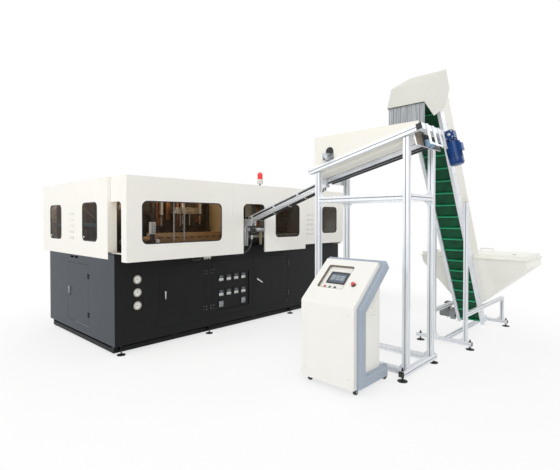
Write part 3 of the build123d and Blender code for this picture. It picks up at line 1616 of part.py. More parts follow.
# Cleated belt: one closed loop round both pulleys
belt_section_plane = Plane(
    origin=(tail_x, conveyor_y - belt_half, tail_z),
    x_dir=(-belt_cos, 0, belt_sin),
    z_dir=(0, 1, 0),
)
with BuildPart() as conveyor_belt:
    with BuildSketch(belt_section_plane):
        with Locations((belt_run / 2, 0)):
            SlotCenterToCenter(belt_run, 2 * (pulley_radius + belt_thickness))
            SlotCenterToCenter(belt_run, 2 * pulley_radius, mode=Mode.SUBTRACT)
        cleat_middle = pulley_radius + belt_thickness + cleat_height / 2 - 0.5
        for i in range(int(belt_run // cleat_pitch) + 1):
            for side in (-1, 1):
                with Locations((i * cleat_pitch, side * cleat_middle)):
                    Rectangle(cleat_thickness, cleat_height + 1)
    extrude(amount=2 * belt_half)
conveyor_belt.part.label = "conveyor_belt"
export_step(conveyor_belt.part, "parts/conveyor_belt.step")

# Belt cover: cream channel over the carrying side of the belt
cover_high = 228.0
cover_sheet = 3.0
cover_start = 720.0
hood_overlap = 40.0
cover_end = belt_run - 30.0

with BuildPart() as belt_cover:
    with Locations(belt_plane):
        bar(side_rail_high, cover_high, -conveyor_half, conveyor_half, cover_start, cover_end)
        bar(
            side_rail_high,
            cover_high - cover_sheet,
            cover_sheet - conveyor_half,
            conveyor_half - cover_sheet,
            cover_start,
            cover_end,
            mode=Mode.SUBTRACT,
        )
        for side in (-1, 1):
            edge = side * (conveyor_half - cover_sheet)
            bar(side_rail_high, side_rail_high + cover_sheet, edge, edge - side * 30, cover_start, cover_end)
belt_cover.part.label = "belt_cover"
export_step(belt_cover.part, "parts/belt_cover.step")

# Discharge hood over the head of the belt, open below and at its outlet
hood_back_high = (145.0, 196.0)
hood_top_front = (173.0, -287.0)
hood_lip_high = (21.0, -481.0)
hood_lip_low = (-189.0, -320.0)
hood_side_low = (-205.0, -14.0)
hood_sheet = 3.0
hood_half = conveyor_half + bearing_thickness + 8.0
hood_plane = Plane(
    origin=belt_plane.from_local_coords((0, -hood_half, belt_run)),
    x_dir=(-belt_cos, 0, belt_sin),
    z_dir=(0, 1, 0),
)
hood_top_joint = (hood_back_high[0], cover_high + 6.0)

with BuildPart() as discharge_hood:
    with BuildSketch(hood_plane) as hood_side:
        with BuildLine():
            Polyline(
                (cover_end - belt_run - hood_overlap, cover_high + 6.0),
                hood_top_joint,
                hood_top_front,
                hood_lip_high,
                hood_lip_low,
                hood_side_low,
                close=True,
            )
        make_face()
    extrude(amount=2 * hood_half)
    with BuildSketch(hood_plane.offset(hood_sheet)):
        with BuildLine():
            Polyline(
                (cover_end - belt_run - 2 * hood_overlap, cover_high + 6.0 - hood_sheet),
                (hood_back_high[0] - hood_sheet, cover_high + 6.0 - hood_sheet),
                (hood_top_front[0] - hood_sheet, hood_top_front[1] + hood_sheet / 2),
                (hood_lip_high[0] - hood_sheet / 2, hood_lip_high[1] + 1.4 * hood_sheet),
                (hood_lip_high[0] - 3 * hood_sheet, hood_lip_high[1] - hood_sheet),
                (hood_lip_low[0] - 3 * hood_sheet, hood_lip_low[1] - 3 * hood_sheet),
                (hood_side_low[0] - 3 * hood_sheet, hood_side_low[1]),
                close=True,
            )
        make_face()
    extrude(amount=2 * (hood_half - hood_sheet), mode=Mode.SUBTRACT)
    with Locations(belt_plane):
        for side in (-1, 1):
            bar(
                -20,
                20,
                side * (conveyor_half + 0.2),
                side * (hood_half - hood_sheet + 1),
                belt_run - 160,
                belt_run - 120,
            )
discharge_hood.part.label = "discharge_hood"
export_step(discharge_hood.part, "parts/discharge_hood.step")

# Strip curtain hanging in the outlet of the hood
strip_count = 14
strip_length = 265.0
strip_thickness = 3.0
strip_gap = 2.0
strip_top = hood_plane.from_local_coords((hood_lip_high[0] - 14.0, hood_lip_high[1] + 22.0, 0))
strip_width = (2 * (hood_half - hood_sheet) - 2) / strip_count - strip_gap

with BuildPart() as strip_curtain:
    for i in range(strip_count):
        y0 = conveyor_y - hood_half + hood_sheet + 2 + i * (strip_width + strip_gap)
        bar(
            strip_top.X,
            strip_top.X + strip_thickness,
            y0,
            y0 + strip_width,
            strip_top.Z - strip_length,
            strip_top.Z,
        )
    bar(
        strip_top.X - 2,
        strip_top.X + strip_thickness + 2,
        conveyor_y - hood_half + hood_sheet,
        conveyor_y + hood_half - hood_sheet,
        strip_top.Z - 14,
        strip_top.Z,
    )
strip_curtain.part.label = "strip_curtain"
export_step(strip_curtain.part, "parts/strip_curtain.step")

# Preform hopper: slanted sheet walls round the foot of the belt
hopper_back_x = 4157.0
hopper_front_y = -3455.0
hopper_back_y = -2160.0
hopper_rim = 1110.0
hopper_skirt = 1000.0
hopper_floor = 462.0
hopper_floor_length = 150.0
hopper_floor_half = 170.0
hopper_sheet = 4.0
hopper_lip = 24.0


def rail_face_x(z, lift=0.0):
    """X of the upper face of the side rails at a height, lifted off it."""
    return tail_x + (side_rail_high + lift - belt_cos * (z - tail_z)) / belt_sin


def hopper_ring(z, x1, y0, y1, inset):
    """Plan outline of the hopper at one height."""
    x0 = rail_face_x(z, inset)
    with BuildSketch(Plane.XY.offset(z)) as ring:
        with Locations(((x0 + x1 - inset) / 2, (y0 + y1) / 2)):
            Rectangle(x1 - inset - x0, y1 - y0 - 2 * inset)
    return ring.sketch


hopper_low_x = rail_face_x(hopper_floor) + hopper_floor_length
hopper_low_y = (conveyor_y - hopper_floor_half, conveyor_y + hopper_floor_half)
hopper_high_y = (hopper_front_y, hopper_back_y)
with BuildPart() as hopper:
    loft([
        hopper_ring(hopper_floor, hopper_low_x, *hopper_low_y, 0),
        hopper_ring(hopper_skirt, hopper_back_x, *hopper_high_y, 0),
    ], ruled=True)
    loft([
        hopper_ring(hopper_skirt, hopper_back_x, *hopper_high_y, 0),
        hopper_ring(hopper_rim, hopper_back_x, *hopper_high_y, 0),
    ], ruled=True)
    loft([
        hopper_ring(hopper_floor + hopper_sheet, hopper_low_x, *hopper_low_y, hopper_sheet),
        hopper_ring(hopper_skirt, hopper_back_x, *hopper_high_y, hopper_sheet),
    ], ruled=True, mode=Mode.SUBTRACT)
    loft([
        hopper_ring(hopper_skirt, hopper_back_x, *hopper_high_y, hopper_sheet),
        hopper_ring(hopper_rim, hopper_back_x, *hopper_high_y, hopper_sheet),
    ], ruled=True, mode=Mode.SUBTRACT)
    bar(
        rail_face_x(hopper_rim) - hopper_lip,
        hopper_back_x + hopper_lip,
        hopper_front_y - hopper_lip,
        hopper_back_y + hopper_lip,
        hopper_rim - hopper_sheet,
        hopper_rim,
    )
    bar(
        rail_face_x(hopper_rim) + hopper_lip,
        hopper_back_x - hopper_lip,
        hopper_front_y + hopper_lip,
        hopper_back_y - hopper_lip,
        hopper_rim - hopper_sheet,
        hopper_rim,
        mode=Mode.SUBTRACT,
    )
    with Locations(belt_plane):
        bar(
            -side_rail_high,
            pulley_radius + 2 * cleat_height,
            -conveyor_half,
            conveyor_half,
            0,
            1.4 * hopper_rim,
            mode=Mode.SUBTRACT,
        )
        bar(
            0,
            cover_high + 4,
            -conveyor_half,
            conveyor_half,
            cover_start - 10,
            1.4 * hopper_rim,
            mode=Mode.SUBTRACT,
        )
hopper.part.label = "hopper"
export_step(hopper.part, "parts/hopper.step")

# Hopper lid: lift-off cover with a grip slot, notched round the belt cover
lid_sheet = 3.0
lid_height = 42.0
lid_margin = 12.0
lid_slot_x = 3633.0
lid_slot_y = -3209.0 - 50.0
with BuildPart() as hopper_lid:
    lid_left = rail_face_x(hopper_rim) + lid_margin
    lid_right = hopper_back_x - lid_margin
    lid_front = hopper_front_y + lid_margin
    lid_back = hopper_back_y - lid_margin
    bar(lid_left, lid_right, lid_front, lid_back, hopper_rim, hopper_rim + lid_height)
    bar(
        lid_left + lid_sheet,
        lid_right - lid_sheet,
        lid_front + lid_sheet,
        lid_back - lid_sheet,
        hopper_rim,
        hopper_rim + lid_height - lid_sheet,
        mode=Mode.SUBTRACT,
    )
    with Locations(belt_plane):
        bar(
            -cover_high,
            cover_high + 4,
            -conveyor_half - 3,
            conveyor_half + 3,
            cover_start - 10,
            1.5 * hopper_rim,
            mode=Mode.SUBTRACT,
        )
    with BuildSketch(Plane.XY.offset(hopper_rim + lid_height - lid_sheet)):
        with Locations((lid_slot_x, lid_slot_y)):
            SlotOverall(120, 34)
    extrude(amount=lid_sheet, mode=Mode.SUBTRACT)
hopper_lid.part.label = "hopper_lid"
export_step(hopper_lid.part, "parts/hopper_lid.step")

# Belt gearmotor on the far end of the tail shaft
drive_box = 120.0
drive_motor_radius = 58.0
drive_motor_length = 150.0
shaft_end_gap = 12.0
drive_face = conveyor_y + conveyor_half + bearing_thickness + shaft_end_gap

with BuildPart() as tail_gearmotor:
    half = drive_box / 2
    with Locations(belt_plane):
        bar(
            -half,
            half,
            drive_face - conveyor_y,
            drive_face - conveyor_y + 70,
            -half,
            half,
        )
        bar(
            half - 30,
            half,
            conveyor_half,
            drive_face - conveyor_y,
            0.5 * drive_box,
            0.9 * drive_box,
        )
        bar(
            side_rail_low,
            half,
            conveyor_half,
            drive_face - conveyor_y + 12,
            0.48 * drive_box,
            0.9 * drive_box,
        )
    with BuildSketch(Plane(origin=(tail_x, drive_face + 70, tail_z), x_dir=(1, 0, 0), z_dir=(0, 1, 0))):
        Circle(drive_motor_radius - 6)
        with PolarLocations(drive_motor_radius - 6, motor_fins):
            Rectangle(12, 4)
    extrude(amount=drive_motor_length)
    bar(tail_x - 32, tail_x + 32, drive_face + 90, drive_face + 160, tail_z + 30, tail_z + 82)
tail_gearmotor.part.label = "tail_gearmotor"
export_step(tail_gearmotor.part, "parts/tail_gearmotor.step")

# Control box on the far long rail
control_x = 3600.0
control_length = 100.0
control_depth = 62.0
control_height = 84.0
control_top = leg_rail_z + 20.0
control_y = leg_far_y + leg_bar / 2
gland_radius = 9.0
gland_length = 16.0
gland_x = control_x + 70.0

with BuildPart() as control_box:
    control_bottom = control_top - control_height
    control_right = control_x + control_length
    bar(control_x, control_right, control_y, control_y + control_depth, control_bottom, control_top)
    chamfer(control_box.edges().filter_by(Axis.Y), 5)
    gland_y = control_y + control_depth / 2
    gland_top = control_top - control_height
    rod((gland_x, gland_y, gland_top - gland_length), (gland_x, gland_y, gland_top), gland_radius)
control_box.part.label = "control_box"
export_step(control_box.part, "parts/control_box.step")

# Motor cable: hangs from the control box gland and rises to the motor
cable_radius = 3.0
cable_points = [
    (3670, -2421, 340),
    (3670, -2421, 276),
    (3680, -2415, 226),
    (3706, -2399, 192),
    (3736, -2380, 192),
    (3751, -2367, 221),
    (3757, -2359, 252),
    (3772, -2355, 282),
    (3803, -2355, 300),
]


def bend_radii(points):
    """Bend radius at each inner point, from its shorter run and its turn."""
    vectors = [Vector(*b) - Vector(*a) for a, b in zip(points, points[1:])]
    radii = []
    for before, after in zip(vectors, vectors[1:]):
        turn = radians(before.get_angle(after))
        radii.append(0.45 * min(before.length, after.length) / tan(turn / 2))
    return radii


cable_bends = bend_radii(cable_points)
print("cable radii", [round(radius, 1) for radius in cable_bends])

with BuildPart() as motor_cable:
    with BuildLine() as cable_path:
        FilletPolyline(*cable_points, radius=cable_bends)
    with BuildSketch(Plane(origin=cable_path.line @ 0, z_dir=cable_path.line % 0)):
        Circle(cable_radius)
    sweep(path=cable_path.line)
motor_cable.part.label = "motor_cable"
export_step(motor_cable.part, "parts/motor_cable.step")
cable_length = cable_path.wires()[0].length
print("cable length", round(cable_length, 1))
cable_full = cable_length * pi * cable_radius**2
print("cable volume ratio", round(motor_cable.part.volume / cable_full, 4))

# Ribbed drop hose from the feed gate over the deck edge to its socket
hose_radius = 19.0
hose_rib = 4.0
hose_rib_length = 7.0
hose_rib_pitch = 15.0
hose_socket_radius = 27.0
hose_x = chute_x - 70.0
hose_y = gate_post_y + 25.0
socket_y = base_front - 84.0
socket_z = base_top - 75.0
hose_points = [
    (hose_x, hose_y, gate_top),
    (hose_x, hose_y, base_top + 100),
    (hose_x - 40, socket_y, base_top + 50),
    (hose_x - 55, socket_y, socket_z),
]

with BuildPart() as drop_hose:
    with BuildLine() as hose_path:
        FilletPolyline(*hose_points, radius=55)
    with BuildSketch(Plane(origin=hose_path.line @ 0, z_dir=hose_path.line % 0)):
        Circle(hose_radius)
    sweep(path=hose_path.line)
    hose_wire = hose_path.wires()[0]
    hose_ribs = int(hose_wire.length // hose_rib_pitch) - 1
    for i in range(hose_ribs):
        place = hose_wire.location_at((i + 1) * hose_rib_pitch, position_mode=PositionMode.LENGTH)
        with Locations(place):
            Cylinder(hose_radius + hose_rib, hose_rib_length)
    with Locations((hose_x - 55, socket_y, socket_z)):
        Cylinder(hose_socket_radius, 50)
    bar(hose_x - 85, hose_x - 25, socket_y, base_front, socket_z - 20, socket_z + 10)
drop_hose.part.label = "drop_hose"
export_step(drop_hose.part, "parts/drop_hose.step")

# Levelling feet of the machine, the stand and the elevator
with BuildPart() as levelling_feet:
    for x in foot_xs:
        for y in foot_ys:
            levelling_foot(x, y, foot_stud_top, (lug_bottom - foot_nut_height, lug_bottom + lug_thickness))
    for x in stand_foot_xs:
        for y in stand_post_ys:
            levelling_foot(
                x,
                y,
                stand_base_top + stud_above_rail,
                (stand_base_bottom - foot_nut_height, stand_base_top),
            )
    for x in (leg_low_x, leg_high_x):
        for y in leg_foot_ys:
            levelling_foot(
                x,
                y,
                leg_rail_top + stud_above_rail,
                (leg_rail_bottom - foot_nut_height, leg_rail_top),
            )
levelling_feet.part.label = "levelling_feet"
export_step(levelling_feet.part, "parts/levelling_feet.step")

# Control console
console_front = 860.0
console_y = -2361.5
console_width = 607.0
console_bottom = 70.0
console_bend = 820.0
console_slope = 41.0
console_slope_length = 564.0
console_shell = 50.0
console_bend_radius = 45.0
frame_band = 92.0
frame_proud = 45.0
frame_over = 72.0
frame_bottom = 73.0
frame_rail = 95.0
frame_back = 1395.0
cabinet_back = 1343.0
cabinet_inset = 18.0
panel_recess = 28.0
panel_x = -68.0
panel_along = 330.0
panel_width = 305.0
panel_height = 300.0
panel_radius = 22.0
screen_x = -56.0
screen_along = 335.0
screen_width = 216.0
screen_height = 150.0
screen_proud = 7.0
button_along = 214.0
button_radius = 12.0
button_gap = 0.5
button_proud = 8.0
button_depth = 12.0
button_travel = 4.0
button_xs = (-150.0, -92.0, -30.0)
stop_x = 178.0
stop_along = 252.0
stop_radius = 20.0
stop_stem_radius = 9.0
stop_lift = 14.0
stop_head = 15.0
console_louvres = 7
console_louvre_pitch = 34.0
console_louvre_first = 690.0
console_louvre_x = 1213.0
console_louvre_width = 86.0
castor_front_radius = 30.0
castor_rear_radius = 48.0
castor_width = 22.0
castor_front_x = 955.0
castor_rear_x = 1478.0
castor_inset = 40.0
axle_radius = 5.0
fork_sheet = 5.0

console_along = Vector(cos(radians(console_slope)), sin(radians(console_slope)))
console_inward = Vector(sin(radians(console_slope)), -cos(radians(console_slope)))
console_corner = Vector(console_front, console_bend)
bend_share = tan(radians((90 - console_slope) / 2))


def console_bend_at(offset):
    """The bend point of the console outline, set back evenly from its front."""
    return (console_front + offset, console_bend - offset * bend_share)


def console_top_at(offset, over=0.0):
    """The top end point of the console outline at a set-back."""
    point = console_corner + console_along * (console_slope_length + over) + console_inward * offset
    return (point.X, point.Y)


def console_plane(half_width):
    """Outline plane at the far side of a console piece; it is extruded to the near side."""
    return Plane(origin=(0, console_y + half_width, 0), x_dir=(1, 0, 0), z_dir=(0, -1, 0))


slope_face = Plane(
    origin=(console_front, console_y, console_bend),
    x_dir=(0, -1, 0),
    z_dir=(-sin(radians(console_slope)), 0, cos(radians(console_slope))),
)
shell_half = console_width / 2
frame_half = shell_half + frame_proud
frame_outer = console_shell + frame_band

with BuildPart() as console_shell_part:
    with BuildSketch(console_plane(shell_half)):
        with BuildLine() as shell_line:
            Polyline(
                (console_front, console_bottom),
                console_bend_at(0),
                console_top_at(0),
                console_top_at(console_shell),
                console_bend_at(console_shell),
                (console_front + console_shell, console_bottom),
                close=True,
            )
        make_face()
    extrude(amount=console_width)
    bend_point = (console_front, console_y, console_bend)
    bend_edges = console_shell_part.edges().filter_by(Axis.Y).sort_by_distance(bend_point)
    fillet(bend_edges[0], console_bend_radius)
    with BuildSketch(slope_face.offset(-panel_recess)):
        with Locations((panel_x, panel_along)):
            RectangleRounded(panel_width, panel_height, panel_radius)
    extrude(amount=panel_recess, mode=Mode.SUBTRACT)
    with BuildSketch(slope_face.offset(-panel_recess - button_depth - 2)):
        for x in button_xs:
            with Locations((x, button_along)):
                Circle(button_radius + button_gap)
    extrude(amount=button_depth + 2, mode=Mode.SUBTRACT)
    with BuildSketch(slope_face.offset(-2 * stop_lift)):
        with Locations((stop_x, stop_along)):
            Circle(stop_stem_radius + button_gap)
    extrude(amount=2 * stop_lift, mode=Mode.SUBTRACT)
with BuildPart() as console_cabinet:
    with BuildSketch(console_plane(shell_half - cabinet_inset)):
        with BuildLine():
            inner = console_bend_at(frame_outer)
            top_z = inner[1] + (cabinet_back - inner[0]) * tan(radians(console_slope))
            Polyline(
                (inner[0], frame_bottom + frame_rail),
                inner,
                (cabinet_back, top_z),
                (cabinet_back, frame_bottom + frame_rail),
                close=True,
            )
        make_face()
    extrude(amount=console_width - 2 * cabinet_inset)
    side_y = console_y - shell_half + cabinet_inset
    for i in range(console_louvres):
        z = console_louvre_first + i * console_louvre_pitch
        louvre_plane = Plane(origin=(console_louvre_x, side_y, z), x_dir=(1, 0, 0), z_dir=(0, -1, 0))
        with BuildSketch(louvre_plane.offset(-6)):
            SlotOverall(console_louvre_width, 11)
        extrude(amount=6, mode=Mode.SUBTRACT)
console_body = Compound(children=[console_shell_part.part, console_cabinet.part])
console_body.label = "console_body"
export_step(console_body, "parts/console_body.step")


def castor_fork(x, radius, top, y):
    """Fork plates beside one wheel and the axle between them."""
    for side in (-1, 1):
        inner = side * (castor_width / 2 + 1)
        outer = inner + side * fork_sheet
        bar(x - 0.45 * radius, x + 0.45 * radius, y + inner, y + outer, radius - 8, top)
    with Locations((x, y, radius)):
        Cylinder(axle_radius, castor_width + 2 + 2 * fork_sheet, rotation=(90, 0, 0))


castor_ys = (console_y - shell_half + castor_inset, console_y + shell_half - castor_inset)

with BuildPart() as console_frame:
    with BuildSketch(console_plane(frame_half)):
        with BuildLine():
            Polyline(
                (console_front + console_shell, frame_bottom),
                console_bend_at(console_shell),
                console_top_at(console_shell, frame_over),
                console_top_at(frame_outer, frame_over),
                console_bend_at(frame_outer),
                (console_bend_at(frame_outer)[0], frame_bottom + frame_rail),
                (frame_back, frame_bottom + frame_rail),
                (frame_back, frame_bottom),
                close=True,
            )
        make_face()
    extrude(amount=2 * frame_half)
    sides = console_frame.faces().sort_by(Axis.Y)
    fillet([sides[0].outer_wire().edges(), sides[-1].outer_wire().edges()], 16)
    for y in castor_ys:
        castor_fork(castor_front_x, castor_front_radius, frame_bottom + 2, y)
        castor_fork(castor_rear_x, castor_rear_radius, frame_bottom + frame_rail - 20, y)
        bar(
            frame_back - 6,
            castor_rear_x + 20,
            y - castor_width / 2 - 1 - fork_sheet,
            y + castor_width / 2 + 1 + fork_sheet,
            frame_bottom + frame_rail - 30,
            frame_bottom + frame_rail - 15,
        )
console_frame.part.label = "console_frame"
export_step(console_frame.part, "parts/console_frame.step")


def castor_pair(x, radius):
    """Both wheels of one castor line, each with its bore."""
    for y in castor_ys:
        with Locations((x, y, radius)):
            Cylinder(radius, castor_width, rotation=(90, 0, 0))
            Cylinder(axle_radius + shaft_gap, castor_width, rotation=(90, 0, 0), mode=Mode.SUBTRACT)


with BuildPart() as console_front_wheels:
    castor_pair(castor_front_x, castor_front_radius)
console_front_wheels.part.label = "console_front_wheels"
export_step(console_front_wheels.part, "parts/console_front_wheels.step")

with BuildPart() as console_rear_wheels:
    castor_pair(castor_rear_x, castor_rear_radius)
console_rear_wheels.part.label = "console_rear_wheels"
export_step(console_rear_wheels.part, "parts/console_rear_wheels.step")

# Console screen and push buttons
panel_floor = slope_face.offset(-panel_recess)
with BuildPart() as console_screen:
    with BuildSketch(panel_floor):
        with Locations((screen_x, screen_along)):
            RectangleRounded(screen_width, screen_height, 6)
    extrude(amount=screen_proud)
    with BuildSketch(panel_floor.offset(screen_proud - 1.5)):
        with Locations((screen_x, screen_along)):
            Rectangle(screen_width - 44, screen_height - 40)
    extrude(amount=1.5, mode=Mode.SUBTRACT)
console_screen.part.label = "console_screen"
export_step(console_screen.part, "parts/console_screen.step")

for name, x in zip(("stop_button", "start_button", "mode_button"), button_xs):
    with BuildPart() as push_button:
        with BuildSketch(panel_floor.offset(button_travel - button_depth)):
            with Locations((x, button_along)):
                Circle(button_radius)
        extrude(amount=button_depth - button_travel + button_proud)
    push_button.part.label = name
    export_step(push_button.part, f"parts/{name}.step")

with BuildPart() as emergency_stop:
    with BuildSketch(slope_face.offset(stop_lift)):
        with Locations((stop_x, stop_along)):
            Circle(stop_radius)
    extrude(amount=stop_head)
    fillet(emergency_stop.faces().sort_by(Axis.Z)[-1].edges(), 5)
    with BuildSketch(slope_face.offset(-stop_lift)):
        with Locations((stop_x, stop_along)):
            Circle(stop_stem_radius)
    extrude(amount=2 * stop_lift)
emergency_stop.part.label = "emergency_stop"
export_step(emergency_stop.part, "parts/emergency_stop.step")
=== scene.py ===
import json
import math
from itertools import product

import bmesh
import bpy
from mathutils import Matrix, Vector


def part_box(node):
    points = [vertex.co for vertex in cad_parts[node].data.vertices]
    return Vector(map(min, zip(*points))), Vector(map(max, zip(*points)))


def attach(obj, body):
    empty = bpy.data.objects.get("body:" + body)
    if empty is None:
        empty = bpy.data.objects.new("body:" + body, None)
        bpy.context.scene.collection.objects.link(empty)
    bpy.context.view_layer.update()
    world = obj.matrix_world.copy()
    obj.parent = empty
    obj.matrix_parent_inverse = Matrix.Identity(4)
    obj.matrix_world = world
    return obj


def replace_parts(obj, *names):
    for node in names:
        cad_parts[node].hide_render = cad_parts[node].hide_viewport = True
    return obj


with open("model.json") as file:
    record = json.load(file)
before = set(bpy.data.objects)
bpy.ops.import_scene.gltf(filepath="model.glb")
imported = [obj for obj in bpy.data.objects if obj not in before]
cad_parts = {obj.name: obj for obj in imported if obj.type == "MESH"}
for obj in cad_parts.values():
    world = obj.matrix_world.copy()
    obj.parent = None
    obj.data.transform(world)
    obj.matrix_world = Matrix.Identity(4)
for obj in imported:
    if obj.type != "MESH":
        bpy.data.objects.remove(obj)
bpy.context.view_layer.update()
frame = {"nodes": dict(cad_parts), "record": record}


def shown(name, data):
    """An object of that name, linked into the scene."""
    obj = bpy.data.objects.new(name, data)
    bpy.context.scene.collection.objects.link(obj)
    return obj


# Camera of the photograph
CAMERA_PLACE = (-2.249, -4.695, 1.607)
CAMERA_TILT = math.radians(89.165)
CAMERA_TURN = math.radians(-46.711)
LENS = 26.546
SENSOR_WIDTH = 36.0
SHIFT_Y = -0.0177
CLIP_END = 200.0

camera_data = bpy.data.cameras.new("camera")
camera_data.lens = LENS
camera_data.sensor_width = SENSOR_WIDTH
camera_data.shift_y = SHIFT_Y
camera_data.clip_end = CLIP_END
camera = shown("camera", camera_data)
camera.location = CAMERA_PLACE
camera.rotation_euler = (CAMERA_TILT, 0.0, CAMERA_TURN)
bpy.context.scene.camera = camera

# Materials: every one is node based, with its own grain, wear and bump
MATS = {}
DRIFT_DETAIL, GRAIN_DETAIL = 5.0, 3.0
DRIFT_ENDS = (0.3, 0.72)
SECOND_SHARE = 0.9
BUMP_DEPTH = 0.002
COAT_ROUGH = 0.12


def tone(red, green, blue):
    """A colour as seen on screen, 0 to 255, as linear values."""
    def linear(value):
        value = value / 255.0
        return value / 12.92 if value <= 0.04045 else ((value + 0.055) / 1.055) ** 2.4
    return (linear(red), linear(green), linear(blue), 1.0)


def set_inputs(tree, node, inputs):
    """Writes plain values into a node's inputs, and links those given as outputs."""
    for key, value in inputs.items():
        if isinstance(value, bpy.types.NodeSocket):
            tree.links.new(value, node.inputs[key])
        else:
            node.inputs[key].default_value = value


def add_node(tree, kind, inputs=None, **settings):
    """A shader node with its settings and inputs."""
    node = tree.nodes.new("ShaderNode" + kind)
    for name, value in settings.items():
        setattr(node, name, value)
    set_inputs(tree, node, inputs or {})
    return node


def surface(name, color, rough, second=None, metal=0.0, scale=6.0, bump=0.05, bump_scale=400.0,
            rough_spread=0.06, stretch=(1, 1, 1), coat=0.0, alpha=1.0, glow=0.0, ior=1.5, shine=0.5):
    """A surface whose tone and roughness drift slowly, with a fine grain as bump."""
    mat = bpy.data.materials.new(name)
    mat.use_nodes = True
    tree = mat.node_tree
    color = tone(*color)
    second = tone(*second) if second else tuple(c * SECOND_SHARE for c in color[:3]) + (1.0,)
    place = add_node(tree, "TexCoord").outputs["Object"]
    mapped = add_node(tree, "Mapping", {"Scale": stretch, "Vector": place}).outputs["Vector"]
    noise = add_node(tree, "TexNoise", {"Scale": scale, "Detail": DRIFT_DETAIL, "Vector": mapped})
    drift = noise.outputs["Fac"]
    ramp = add_node(tree, "ValToRGB", {"Fac": drift})
    for end, position, shade in zip(ramp.color_ramp.elements, DRIFT_ENDS, (second, color)):
        end.position = position
        end.color = shade
    spread = add_node(tree, "MapRange", {
        "Value": drift, "To Min": max(0.02, rough - rough_spread), "To Max": min(1.0, rough + rough_spread)})
    grain = add_node(tree, "TexNoise", {"Scale": bump_scale, "Detail": GRAIN_DETAIL, "Vector": mapped})
    dents = add_node(tree, "Bump", {"Strength": bump, "Distance": BUMP_DEPTH, "Height": grain.outputs["Fac"]})
    shader = tree.nodes["Principled BSDF"]
    set_inputs(tree, shader, {
        "Base Color": ramp.outputs["Color"], "Roughness": spread.outputs["Result"],
        "Normal": dents.outputs["Normal"], "Metallic": metal, "IOR": ior, "Specular IOR Level": shine,
        "Coat Weight": coat, "Coat Roughness": COAT_ROUGH, "Alpha": alpha})
    if glow:
        set_inputs(tree, shader, {"Emission Color": color, "Emission Strength": glow})
    MATS[name] = mat


def brushed(name, color, rough, stretch):
    """Metal with fine lines drawn along one direction."""
    surface(name, color, rough, metal=1.0, scale=30.0, stretch=stretch, bump=0.08, bump_scale=90.0,
            rough_spread=0.08)


def paint_light_band(name, source, output, direction, middle, low, high, color):
    """Paints a second colour, as painted light or shade, where a surface's place or its tilt is far enough
    from a middle.
    """
    tree = MATS[name].node_tree
    start = add_node(tree, source).outputs[output]
    lift = add_node(tree, "VectorMath", {0: start, 1: direction}, operation="DOT_PRODUCT").outputs["Value"]
    offset = add_node(tree, "Math", {0: lift, 1: middle}, operation="SUBTRACT").outputs[0]
    amount = add_node(tree, "Math", {0: offset}, operation="ABSOLUTE").outputs[0]
    step = add_node(tree, "MapRange", {"Value": amount, "From Min": low, "From Max": high})
    ramp = next(n for n in tree.nodes if n.bl_idname == "ShaderNodeValToRGB")
    mix = add_node(tree, "Mix", {"Factor": step.outputs["Result"]}, data_type="RGBA")
    set_inputs(tree, mix, {6: ramp.outputs["Color"], 7: tone(*color)})
    set_inputs(tree, tree.nodes["Principled BSDF"], {"Base Color": mix.outputs[2]})


# Looks of the record's material slots
SHEET = {"bump": 0.04, "scale": 2.0, "shine": 0.3}
surface("base_paint", (13, 14, 15), 0.5, (9, 10, 11), bump=0.08, scale=3.0, shine=0.22)
surface("end_paint", (64, 70, 77), 0.5, (56, 62, 69), bump=0.08, scale=3.0, shine=0.3)
surface("guard_paint", (243, 241, 234), 0.4, (240, 238, 231), bump=0.03, scale=2.0, shine=0.3)
surface("frame_steel", (226, 223, 214), 0.4, scale=4.0)
brushed("zinc_steel", (206, 207, 208), 0.26, (1, 1, 6))
surface("window", (50, 33, 17), 0.04, alpha=0.2, bump=0.005, rough_spread=0.02, bump_scale=20.0, shine=0.06)
surface("bezel", (26, 26, 28), 0.3, bump=0.1)
surface("beacon_red", (226, 30, 24), 0.16, (200, 16, 12), coat=0.6, glow=0.25)
surface("beacon_grey", (214, 214, 210), 0.4)
surface("clamp_grey", (58, 54, 50), 0.45, (40, 37, 34), bump=0.2, bump_scale=180.0)
brushed("mould_steel", (186, 184, 178), 0.28, (1, 1, 8))
surface("track_cream", (168, 140, 106), 0.36, (142, 114, 84), metal=0.3, bump=0.1)
surface("profile", (243, 245, 248), 0.4, (226, 230, 235), metal=0.15, scale=12.0, stretch=(4, 4, 0.3))
surface("sorter_sheet", (240, 237, 228), 0.42, (236, 233, 223), **SHEET)
surface("roller_steel", (226, 230, 235), 0.25, (206, 210, 216), metal=0.5, scale=5.0, bump=0.01)
surface("motor_blue", (10, 68, 132), 0.34, (6, 50, 104), bump=0.1, bump_scale=200.0, shine=0.3)
surface("motor_silver", (190, 192, 194), 0.36, metal=0.8, bump=0.2, bump_scale=250.0)
surface("wheel_black", (28, 28, 29), 0.6, bump=0.2)
surface("rail_steel", (240, 242, 245), 0.3, (196, 202, 208), metal=0.2, bump=0.04, scale=14.0,
        stretch=(1, 0.2, 4))
surface("belt_green", (6, 88, 54), 0.45, (3, 62, 38), scale=9.0, bump=0.1, shine=0.25)
surface("cover_sheet", (230, 229, 221), 0.42, (225, 224, 215), **SHEET)
surface("curtain_grey", (186, 190, 193), 0.3, (84, 90, 96), scale=26.0, bump=0.1, stretch=(1, 4, 0.12))
surface("gearmotor_grey", (150, 154, 156), 0.4, bump=0.2, bump_scale=200.0)
surface("control_black", (30, 30, 31), 0.45, bump=0.15)
surface("cable_grey", (128, 130, 132), 0.5, bump=0.1)
surface("hose_black", (22, 22, 23), 0.5, bump=0.15)
surface("foot_black", (34, 34, 35), 0.45, bump=0.15)
surface("console_cream", (240, 239, 234), 0.4, (236, 235, 229), bump=0.04, scale=2.5, shine=0.3)
